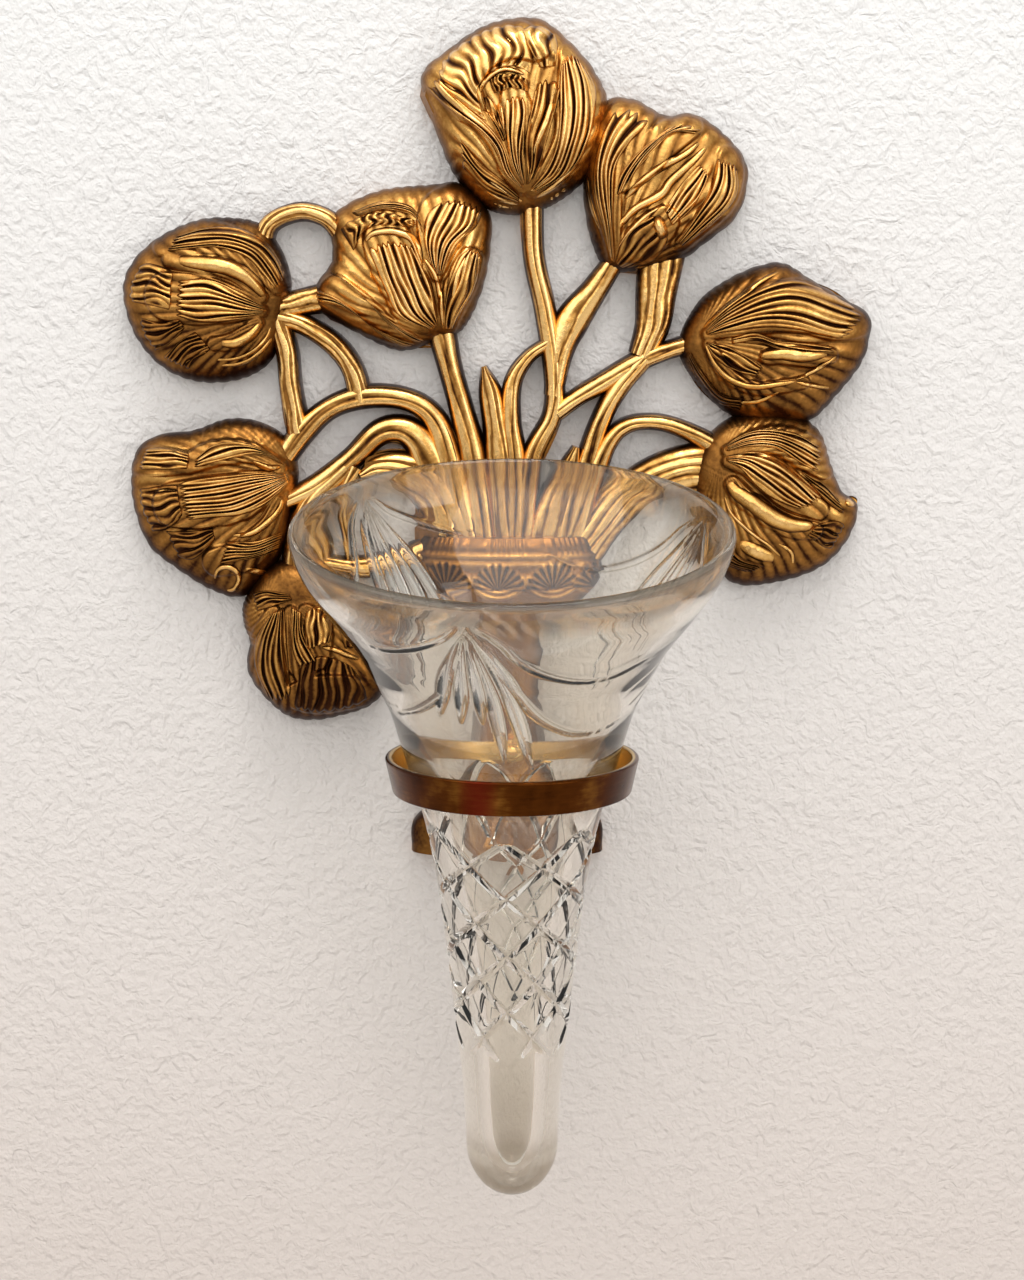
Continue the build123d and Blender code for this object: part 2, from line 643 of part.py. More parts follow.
# hanger_ring: a wire D whose straight leg turns in the strap
with BuildPart() as hanger_ring:
    with BuildLine(hanger_plane) as wire_path:
        leg = Line((0, 0), (wire_ring_radius - wire_corner, 0))
        corner = JernArc(leg @ 1, leg % 1, wire_corner, 90)
        side = Line(corner @ 1, corner @ 1 + (0, wire_ring_leg))
        crown_arc = JernArc(side @ 1, side % 1, wire_ring_radius, 180)
        far_side = Line(crown_arc @ 1, crown_arc @ 1 - (0, wire_ring_leg))
        far_corner = JernArc(far_side @ 1, far_side % 1, wire_corner, 90)
        Line(far_corner @ 1, leg @ 0)
    with BuildSketch(Plane(origin=hanger_plane.origin, x_dir=(0, 1, 0), z_dir=(1, 0, 0))) as wire_section:
        Circle(wire_radius)
    sweep()
hanger_ring.part.label = "hanger_ring"

# hanger_strap: a folded plate whose barrel holds the wire, flat on the pad inside the top tulip
with BuildPart() as hanger_strap:
    with BuildSketch(Plane(origin=hanger_plane.origin, x_dir=(0, 1, 0), z_dir=(1, 0, 0))) as barrel:
        Circle(barrel_radius)
        with Locations((-barrel_radius + strap_thickness / 2, -strap_length / 2)):
            Rectangle(strap_thickness, strap_length)
        Circle(wire_radius + wire_clearance, mode=Mode.SUBTRACT)
    extrude(amount=strap_width / 2, both=True)
    with BuildSketch(hanger_plane) as strap_hole:
        with Locations((0, hanger_screw_rise)):
            Circle(hanger_screw_radius + screw_hole_clearance)
    extrude(amount=2 * barrel_radius, mode=Mode.SUBTRACT)
hanger_strap.part.label = "hanger_strap"

# hanger_screw: a small slotted screw through the strap into the pad
with BuildPart() as hanger_screw:
    with Locations(hanger_screw_plane):
        Cylinder(hanger_head_radius, hanger_head_height, align=(Align.CENTER, Align.CENTER, Align.MAX))
        Cylinder(
            hanger_screw_radius,
            strap_thickness + hanger_screw_length,
            align=(Align.CENTER, Align.CENTER, Align.MIN),
        )
    fillet(hanger_screw.edges().sort_by(Axis.Y)[-1], hanger_head_height / 2)
    with BuildSketch(hanger_screw_plane.offset(-hanger_head_height)) as hanger_slot:
        Rectangle(3 * hanger_head_radius, hanger_slot_width)
    extrude(amount=hanger_head_height / 2, mode=Mode.SUBTRACT)
hanger_screw.part.label = "hanger_screw"

pieces = {
    "tulip_plaque": tulip_plaque,
    "holder_ring": holder_ring,
    "ring_spacer": ring_spacer,
    "ring_washer": ring_washer,
    "ring_screw": ring_screw,
    "glass_tube": glass_tube,
    "hanger_strap": hanger_strap,
    "hanger_ring": hanger_ring,
    "hanger_screw": hanger_screw,
}
os.makedirs("parts", exist_ok=True)
for name, piece in pieces.items():
    export_step(piece.part, f"parts/{name}.step")
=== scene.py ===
"""Wall mounted glass flower tube: tulips cast in brass, an urn, a ring and a cut-glass trumpet.

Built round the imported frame, in metres: +X right, +Y into the wall, +Z up.
"""

import math

import bmesh
import bpy
import numpy as np
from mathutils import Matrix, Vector


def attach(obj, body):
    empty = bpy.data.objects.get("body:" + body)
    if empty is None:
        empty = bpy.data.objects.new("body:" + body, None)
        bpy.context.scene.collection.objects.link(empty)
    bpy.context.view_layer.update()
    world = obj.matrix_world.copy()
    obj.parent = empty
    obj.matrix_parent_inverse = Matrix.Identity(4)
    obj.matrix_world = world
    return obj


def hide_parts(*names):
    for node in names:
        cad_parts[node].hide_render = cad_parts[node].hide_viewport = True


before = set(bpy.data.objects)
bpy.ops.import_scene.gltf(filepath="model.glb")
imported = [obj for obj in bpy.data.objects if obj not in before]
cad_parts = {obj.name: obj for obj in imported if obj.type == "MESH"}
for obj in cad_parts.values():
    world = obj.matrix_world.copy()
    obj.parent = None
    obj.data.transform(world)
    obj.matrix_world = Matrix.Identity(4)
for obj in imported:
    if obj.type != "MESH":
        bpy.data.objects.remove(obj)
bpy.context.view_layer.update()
scene = bpy.context.scene
MM = 0.001
TURN = 2 * math.pi

# The view that the shapes were read from: pixels for the picture, metres for the eye
PICTURE_HEIGHT = 1280.0
FOCAL = 2080.0
MIDDLE = (512.0, 640.0)
DOWN = math.radians(8.8)
DISTANCE = 0.65085
EYE = np.array((0.0, -0.6432, 0.12922))


def on_ray(column, row, off_wall):
    """Where the sight line through a pixel stands off_wall metres in front of the wall."""
    across = np.asarray(column, float) - MIDDLE[0]
    up = MIDDLE[1] - np.asarray(row, float)
    ray_y = FOCAL * math.cos(DOWN) + up * math.sin(DOWN)
    ray_z = -FOCAL * math.sin(DOWN) + up * math.cos(DOWN)
    reach = (-np.asarray(off_wall, float) - EYE[1]) / ray_y
    return np.stack([EYE[0] + reach * across, EYE[1] + reach * ray_y, EYE[2] + reach * ray_z], axis=-1)


# Lines and forms that the pieces share
STEPS_BETWEEN = 24


def smooth_line(points, count, closed=False):
    """Evenly spaced points on a smooth line through the given ones."""
    p = np.asarray(points, float)
    if closed:
        p = np.vstack([p[-1], p, p[0], p[1]])
    else:
        p = np.vstack([2 * p[0] - p[1], p, 2 * p[-1] - p[-2]])
    t = np.linspace(0, 1, STEPS_BETWEEN, endpoint=False)[:, None]
    fine = []
    for a, b, c, d in zip(p[:-3], p[1:-2], p[2:-1], p[3:]):
        squared, cubed = 2 * a - 5 * b + 4 * c - d, 3 * b - a - 3 * c + d
        fine.append(0.5 * (2 * b + (c - a) * t + squared * t**2 + cubed * t**3))
    fine = np.vstack(fine + [p[-2][None, :]])
    run = np.concatenate([[0], np.cumsum(np.linalg.norm(np.diff(fine, axis=0), axis=1))])
    at = np.linspace(0, run[-1], count)
    return np.stack([np.interp(at, run, fine[:, k]) for k in range(fine.shape[1])], axis=-1)


def along(line, v):
    """The point of an evenly spaced line that lies nearest to the share v of its length."""
    return line[np.clip(np.round(v * (len(line) - 1)).astype(int), 0, len(line) - 1)]


def between(grid, down, across):
    """The place in a grid at shares of its rows and columns, mixed from its four neighbours."""
    i, j = down * (grid.shape[0] - 1), across * (grid.shape[1] - 1)
    low_i = np.clip(i.astype(int), 0, grid.shape[0] - 2)
    low_j = np.clip(j.astype(int), 0, grid.shape[1] - 2)
    part_i, part_j = (i - low_i)[:, None], (j - low_j)[:, None]
    near = grid[low_i, low_j] * (1 - part_j) + grid[low_i, low_j + 1] * part_j
    after = grid[low_i + 1, low_j] * (1 - part_j) + grid[low_i + 1, low_j + 1] * part_j
    return near * (1 - part_i) + after * part_i


def heading(line):
    """The direction of a line at each of its points."""
    run = np.gradient(line, axis=0)
    return run / np.linalg.norm(run, axis=1)[:, None]


def rise(x, start, run):
    """0 up to start, then up to 1 over the run."""
    return np.clip((x - start) / run, 0, 1)


def fall(x, end, run):
    """Down from 1 to 0 over the run before end, then 0."""
    return np.clip((end - x) / run, 0, 1)


def dome(t, power=2):
    """A round crown over -1 to 1, 1 at its middle; a higher power makes it flatter on top."""
    return np.sqrt(np.clip(1 - t**power, 0, 1))


def hump(x, middle, half):
    """A soft hump that is 1 at its middle."""
    return np.exp(-(((x - middle) / half) ** 2))


def lines(phase, thin):
    """Lines side by side, one at each half turn of the phase: 1 in a line, 0 between two."""
    return (1 - np.abs(np.sin(phase))) ** thin


def wander(u, v, seed):
    """A slow, smooth unevenness between about -1 and 1."""
    return (
        np.sin(5.1 * u + 2.3 * seed) * np.cos(3.7 * v + 1.3 * seed)
        + 0.6 * np.sin(9.7 * v + 4.1 * seed + 3 * u)
        + 0.4 * np.cos(13.3 * u - 7.7 * v + seed)
    ) / 2


# Mesh helpers
def new_mesh():
    """An empty mesh whose corners say how deep in a groove they lie, and on the brass how much painted shade
    they take.
    """
    bm = bmesh.new()
    return bm, bm.verts.layers.float.new("groove")


def sheet(bm, columns, rows, place, cut):
    """A grid whose corners go where place(u, v) says; it gives points and how deep in a groove each lies,
    with any painted shade.
    """
    verts = bmesh.ops.create_grid(bm, x_segments=columns, y_segments=rows, size=0.5)["verts"]
    uv = np.array([(v.co.x + 0.5, v.co.y + 0.5) for v in verts])
    points, depth = place(uv[:, 0], uv[:, 1])
    for vert, point, d in zip(verts, points, depth):
        vert.co = point
        vert[cut] = d


def mesh_object(name, bm, material):
    mesh = bpy.data.meshes.new(name)
    bm.to_mesh(mesh)
    bm.free()
    mesh.materials.append(material)
    obj = bpy.data.objects.new(name, mesh)
    scene.collection.objects.link(obj)
    return obj


def piece(name, bm, material, body):
    """A smooth piece of the object that moves with one body."""
    bm.normal_update()
    obj = mesh_object(name, bm, material)
    obj.data.shade_smooth()
    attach(obj, body)
    return obj


def turn_outwards(bm):
    """Faces each sheet away from the wall."""
    bm.normal_update()
    seen = set()
    for first in list(bm.faces):
        if first in seen:
            continue
        seen.add(first)
        island = [first]
        # the list grows while it is walked
        for face in island:
            for edge in face.edges:
                fresh = [other for other in edge.link_faces if other not in seen]
                seen.update(fresh)
                island.extend(fresh)
        if sum(face.normal.y * face.calc_area() for face in island) > 0:
            bmesh.ops.reverse_faces(bm, faces=island)


# Shader helpers
def feed(tree, socket, item):
    """Links an output to a socket, or sets the socket to a number or a colour."""
    if isinstance(item, Value):
        item = item.socket
    if hasattr(item, "links"):
        tree.links.new(item, socket)
    elif socket.type == "RGBA":
        socket.default_value = (*item, 1)
    else:
        socket.default_value = item


class Value:
    """A socket with arithmetic."""

    def __init__(self, tree, socket):
        self.tree, self.socket = tree, socket

    def maths(self, operation, *others, clamp=False):
        node = self.tree.nodes.new("ShaderNodeMath")
        node.operation, node.use_clamp = operation, clamp
        for socket, item in zip(node.inputs, (self, *others)):
            feed(self.tree, socket, item)
        return Value(self.tree, node.outputs[0])

    def __add__(self, other):
        return self.maths("ADD", other)

    def __mul__(self, other):
        return self.maths("MULTIPLY", other)

    def __sub__(self, other):
        return self.maths("SUBTRACT", other)

    def __rsub__(self, other):
        return (self * -1.0) + other

    def __pow__(self, other):
        return self.maths("POWER", other)

    __radd__, __rmul__ = __add__, __mul__

    def clamped(self):
        return self.maths("ADD", 0.0, clamp=True)


class Finish:
    """One material: its node tree and a few ways to fill it."""

    def __init__(self, name):
        self.material = bpy.data.materials.new(name)
        self.material.use_nodes = True
        self.tree = self.material.node_tree
        self.tree.nodes.clear()
        self.output = self.tree.nodes.new("ShaderNodeOutputMaterial")

    def node(self, kind, settings=None, **values):
        """A node of a kind: its settings are set first, then the values or links of its sockets."""
        node = self.tree.nodes.new("ShaderNode" + kind)
        for key, value in (settings or {}).items():
            if key == "stops":
                self.set_stops(node.color_ramp, value)
            else:
                setattr(node, key, value)
        for key, value in values.items():
            feed(self.tree, node.inputs[key.replace("_", " ")], value)
        return node

    def set_stops(self, ramp, stops):
        while len(ramp.elements) > 1:
            ramp.elements.remove(ramp.elements[-1])
        for k, (place, colour) in enumerate(stops):
            stop = ramp.elements[0] if k == 0 else ramp.elements.new(place)
            stop.position, stop.color = place, (*colour, 1)

    def value(self, node, output=0):
        return Value(self.tree, node.outputs[output])

    def groove(self):
        """How deep in a groove a place lies, with any painted shade, as its piece's mesh says."""
        return self.value(self.node("Attribute", {"attribute_name": "groove"}), "Fac")

    def place(self):
        return self.node("TexCoord").outputs["Object"]

    def places(self):
        """X, Y and Z, one value each."""
        split = self.node("SeparateXYZ", Vector=self.place())
        return [self.value(split, k) for k in range(3)]

    def noise(self, scale, detail=3.0, roughness=0.55):
        settings = {"Scale": scale, "Detail": detail, "Roughness": roughness}
        return self.value(self.node("TexNoise", Vector=self.place(), **settings))

    def ramp(self, factor, stops):
        return self.node("ValToRGB", {"stops": stops}, Fac=factor).outputs["Color"]

    def mix(self, factor, low, high):
        """A colour between two; the Mix node keeps its colours behind inputs 6 and 7 and output 2."""
        node = self.node("Mix", {"data_type": "RGBA"})
        for k, item in ((0, factor), (6, low), (7, high)):
            feed(self.tree, node.inputs[k], item)
        return node.outputs[2]

    def blend(self, factor, low, high):
        """A shader between two."""
        node = self.node("MixShader")
        for socket, item in zip(node.inputs, (factor, low.outputs[0], high.outputs[0])):
            feed(self.tree, socket, item)
        return node

    def metal(self, colour, rough, bump=None):
        """Finishes the material as bare metal."""
        shader = self.node("BsdfPrincipled", Base_Color=colour, Metallic=1.0, Roughness=rough)
        if bump:
            self.tree.links.new(bump.outputs[0], shader.inputs["Normal"])
        return self.done(shader)

    def done(self, shader):
        self.tree.links.new(shader.outputs[0], self.output.inputs["Surface"])
        return self.material


# Finishes
def cast_brass(name, depth=None):
    """Antique cast brass, dark in the grooves and gilt where it was rubbed, darker still where its groove
    value carries painted shade; a plain piece has one depth.
    """
    f = Finish(name)
    patina = f.noise(70.0, 4.0)
    fine = f.noise(900.0, 3.0)
    # wear, patina and painted shade together: the groove value brings painted shade on flanks and lower parts
    wear_and_shade = (patina * 0.7 + fine * 0.3 - 0.5 + (depth or f.groove())).clamped()
    colour = f.ramp(
        wear_and_shade,
        [
            (0.0, (0.93, 0.58, 0.22)),
            (0.2, (0.66, 0.355, 0.095)),
            (0.45, (0.29, 0.125, 0.027)),
            (0.8, (0.035, 0.011, 0.004)),
        ],
    )
    bump = f.node("Bump", Strength=0.3, Distance=0.0004, Height=fine * 0.6 + patina * 0.4)
    return f.metal(colour, wear_and_shade * 0.25 + 0.21, bump)


# The ring's middle in Y, and the radius between its dark outside and its gilt inside, which widens upwards
RING_MIDDLE = -57.0 * MM
RING_SURFACE = 34.5 * MM
RING_FLARE = 0.22
STAIN_COLUMN = -9.3 * MM
STAIN_RATE = 170.0


def ring_brass():
    """Dark bronzed brass with fine scratches and a red stain at the front, and gilt inside."""
    f = Finish("ring_brass")
    cloud = f.noise(60.0, 4.0)
    drawn = f.node("Mapping", Vector=f.place(), Scale=(130, 130, 900)).outputs[0]
    scratch = f.value(f.node("TexNoise", Vector=drawn, Scale=1.0, Detail=4.0, Roughness=0.7))
    tone = ((cloud - 0.5) * 2.0 + (scratch - 0.5) * 0.5 + 0.45).clamped()
    stops = [(0.0, (0.022, 0.005, 0.001)), (0.5, (0.078, 0.021, 0.003)), (1.0, (0.27, 0.11, 0.018))]
    bronze = f.ramp(tone, stops)
    x, y, z = f.places()
    off = (x - STAIN_COLUMN) * STAIN_RATE
    stain = (1.0 - off * off).clamped() * (cloud * 1.4).clamped()
    outside = f.mix(stain, bronze, (0.11, 0.008, 0.004))
    back = y - RING_MIDDLE
    inner = ((RING_SURFACE - (back * back + x * x) ** 0.5 + z * RING_FLARE) * 2500.0).clamped()
    colour = f.mix(inner, outside, (0.62, 0.42, 0.15))
    bump = f.node("Bump", Strength=0.2, Distance=0.0002, Height=scratch)
    return f.metal(colour, (1.0 - tone) * 0.15 + 0.15, bump)


def polished_brass():
    f = Finish("polished_brass")
    cloud = f.noise(150.0, 3.0)
    return f.metal(f.ramp(cloud, [(0.3, (0.62, 0.38, 0.12)), (0.7, (0.88, 0.62, 0.25))]), cloud * 0.2 + 0.12)


def steel():
    f = Finish("steel")
    cloud = f.noise(300.0, 3.0)
    return f.metal(f.ramp(cloud, [(0.3, (0.42, 0.42, 0.41)), (0.7, (0.62, 0.62, 0.60))]), cloud * 0.25 + 0.25)


def clear_glass():
    """Old clear glass: its cuts have painted shade along their edges and a paler floor, and its thick lip
    lets more light by.
    """
    f = Finish("clear_glass")
    cut = f.groove()
    # painted shade along the edges of the cuts, where the glass bends the light away
    edge = (cut * 9.0).clamped() * (1.5 - cut * 3.5).clamped()
    tint_and_shade = f.mix(edge, (0.93, 0.895, 0.83), (0.42, 0.36, 0.27))
    body = f.node("BsdfPrincipled", Base_Color=tint_and_shade, Roughness=0.0, IOR=1.5, Transmission_Weight=1.0)
    clear = f.node("BsdfTransparent", Color=(0.84, 0.8, 0.73))
    pale = f.node("BsdfPrincipled", Base_Color=(0.86, 0.84, 0.79), Roughness=0.3)
    shadow = f.node("BsdfTransparent", Color=(0.84, 0.84, 0.83))
    path = f.node("LightPath")
    soft = f.value(path, "Is Shadow Ray") + f.value(path, "Is Diffuse Ray")
    body = f.blend((cut * -1.0).clamped(), body, clear)
    body = f.blend((cut * 0.8 - 0.25).clamped() * 0.45, body, pale)
    return f.done(f.blend(soft.clamped(), body, shadow))


def plaster():
    """The stage's wall: pale, with painted shade darkening it towards its foot, finely wrinkled, and clear
    from behind.
    """
    f = Finish("plaster")
    lumps = f.noise(380.0, 2.0, 0.6)
    waves = f.value(f.node("TexNoise", Vector=f.place(), Scale=185.0, Detail=2.0, Distortion=1.3))
    bump = f.node("Bump", Strength=0.9, Distance=0.0017, Height=lumps * 0.6 + waves * 0.7)
    height = f.places()[2]
    # painted light fall-off: darker towards the foot of the wall
    colour = f.mix((height * 2.6 + 0.45).clamped(), (0.72, 0.64, 0.585), (0.86, 0.845, 0.82))
    shader = f.node("BsdfPrincipled", Base_Color=colour, Roughness=0.75, Normal=bump.outputs[0])
    behind = f.value(f.node("NewGeometry"), "Backfacing")
    return f.done(f.blend(behind, shader, f.node("BsdfTransparent")))


def plain_floor():
    f = Finish("floor")
    return f.done(f.node("BsdfPrincipled", Base_Color=(0.8, 0.79, 0.78), Roughness=0.8))


BRASS = cast_brass("cast_brass")
PLAIN_BRASS = cast_brass("plain_cast_brass", 0.5)
RING_BRASS = ring_brass()
BRIGHT_BRASS = polished_brass()
STEEL = steel()
GLASS = clear_glass()

# The tulips: each one's outline in pixels, and its crown off the wall in mm
EDGE = 3.0
PAD = 1.6
OUTLINES = {
    "top": (
        (423, 80), (450, 52), (485, 29), (520, 21), (545, 25), (571, 47), (592, 72), (606, 104), (604, 150),
        (575, 188), (535, 211), (492, 210), (458, 178), (438, 132),
    ),
    "upper_right": (
        (604, 104), (633, 102), (664, 118), (690, 116), (716, 131), (740, 157), (745, 182), (734, 216),
        (705, 241), (672, 262), (613, 270), (592, 240), (584, 185), (588, 135),
    ),
    "centre_left": (
        (340, 212), (380, 193), (430, 187), (462, 186), (488, 214), (489, 250), (480, 292), (462, 328),
        (437, 338), (401, 349), (358, 331), (319, 308), (318, 286), (334, 262), (334, 235),
    ),
    "far_left": (
        (263, 227), (282, 252), (291, 285), (284, 318), (272, 358), (243, 377), (202, 380), (166, 366),
        (139, 335), (127, 295), (134, 266), (160, 240), (200, 222), (236, 220),
    ),
    "lower_left": (
        (159, 436), (196, 431), (228, 420), (258, 422), (286, 438), (298, 468), (293, 505), (285, 545),
        (262, 580), (240, 594), (212, 586), (180, 566), (154, 545), (141, 517), (135, 485), (139, 453),
    ),
    "drooping": (
        (247, 600), (268, 566), (300, 560), (330, 586), (355, 620), (375, 652), (385, 682), (370, 702),
        (340, 712), (314, 716), (288, 711), (262, 687), (250, 664), (253, 640), (247, 622),
    ),
    "right": (
        (682, 332), (701, 300), (727, 281), (756, 268), (782, 265), (810, 282), (838, 298), (865, 315),
        (866, 336), (858, 362), (834, 393), (806, 419), (766, 420), (728, 412), (699, 385), (681, 357),
    ),
    "lower_right": (
        (712, 432), (745, 412), (785, 411), (816, 431), (827, 462), (837, 488), (854, 505), (845, 536),
        (820, 563), (780, 578), (735, 581), (712, 556), (698, 515), (694, 468),
    ),
}
CROWNS = {
    "top": 15.0, "upper_right": 13.5, "centre_left": 12.6, "far_left": 12.6, "lower_left": 12.0,
    "drooping": 12.6, "right": 14.1, "lower_right": 13.05,
}
# How much darker than the rest each tulip is painted: tarnish, with painted shade on those away from the
# upper middle, where the light is strongest
TARNISH_AND_SHADE = {
    "top": -0.05, "upper_right": 0.0, "centre_left": -0.06, "far_left": 0.13, "lower_left": 0.1,
    "drooping": 0.14, "right": 0.12, "lower_right": 0.08,
}
# The main petals that the casting carries: (column, row, width) in pixels along each
PADS = {
    "top": (
        ((522, 191, 6), (508, 172, 10), (499, 147, 12), (484, 128, 14), (464, 113, 14), (431, 81, 12)),
        ((524, 187, 8), (517, 165, 15), (515, 138, 21), (515, 113, 24), (514, 97, 16)),
        ((532, 193, 8), (558, 171, 26), (573, 144, 32), (577, 114, 38), (578, 83, 34), (571, 58, 18)),
        ((470, 112, 24), (463, 85, 32), (480, 57, 34), (510, 44, 34), (535, 52, 24)),
    ),
    "upper_right": (
        ((613, 262, 6), (609, 228, 14), (604, 195, 22), (605, 165, 26), (616, 138, 34), (632, 115, 36)),
        ((620, 188, 8), (638, 168, 24), (658, 146, 28), (685, 128, 22)),
        ((617, 266, 8), (632, 250, 26), (648, 236, 32), (660, 224, 24)),
        ((679, 246, 8), (702, 222, 16), (718, 203, 22), (725, 182, 24), (727, 161, 20)),
    ),
    "centre_left": (
        ((438, 276, 6), (438, 260, 20), (441, 240, 32), (447, 218, 46), (461, 204, 38)),
        ((435, 328, 10), (418, 312, 32), (409, 288, 40), (397, 263, 42), (390, 244, 40)),
        ((448, 330, 10), (453, 308, 18), (462, 285, 24), (471, 262, 20)),
        ((432, 345, 6), (409, 338, 12), (385, 327, 20), (362, 311, 28), (338, 294, 30)),
    ),
    "far_left": (
        ((282, 286, 12), (268, 266, 20), (250, 250, 24), (222, 240, 26), (194, 239, 28), (169, 246, 16)),
        ((265, 297, 8), (252, 282, 10), (236, 271, 12), (214, 266, 13), (190, 263, 12), (176, 261, 8)),
        ((266, 311, 6), (239, 304, 28), (206, 300, 42), (176, 297, 40)),
        ((262, 322, 6), (250, 334, 9), (236, 342, 10), (220, 343, 7)),
    ),
    "lower_left": (
        ((285, 464, 6), (260, 451, 12), (236, 449, 18), (212, 453, 18), (194, 462, 12)),
        ((290, 476, 8), (260, 487, 32), (236, 495, 42), (204, 500, 42), (182, 501, 38)),
        ((282, 500, 8), (276, 520, 14), (262, 540, 26), (246, 552, 26), (222, 558, 22)),
        ((190, 460, 16), (163, 459, 22), (141, 459, 20)),
    ),
    "drooping": (
        ((296, 608, 10), (298, 633, 14), (303, 654, 18), (309, 666, 16)),
        ((311, 608, 14), (320, 625, 26), (319, 648, 24)),
        ((278, 608, 10), (270, 640, 30), (271, 671, 34), (282, 698, 22)),
        ((292, 690, 14), (320, 688, 34), (348, 686, 32), (370, 688, 20)),
    ),
    "right": (
        ((704, 334, 6), (730, 320, 24), (763, 309, 40), (797, 306, 46), (831, 314, 44), (855, 320, 26)),
        ((761, 356, 8), (783, 355, 11), (804, 357, 11), (824, 355, 8)),
        ((705, 344, 6), (715, 365, 7), (731, 380, 7), (753, 387, 7), (781, 384, 7), (797, 381, 6)),
    ),
    "lower_right": (
        ((724, 449, 6), (750, 439, 16), (775, 438, 22), (800, 449, 28), (820, 461, 24)),
        ((724, 459, 6), (746, 463, 16), (765, 474, 26), (785, 490, 26), (812, 506, 14)),
        ((728, 481, 10), (736, 492, 13), (752, 503, 14), (770, 516, 14), (788, 524, 14), (807, 526, 12)),
    ),
}
# Where the stem meets each tulip, in pixels: its veins spread from there
BASES = {
    "top": (526, 205), "upper_right": (614, 274), "centre_left": (442, 338), "far_left": (284, 311),
    "lower_left": (298, 470), "drooping": (292, 590), "right": (694, 338), "lower_right": (716, 454),
}
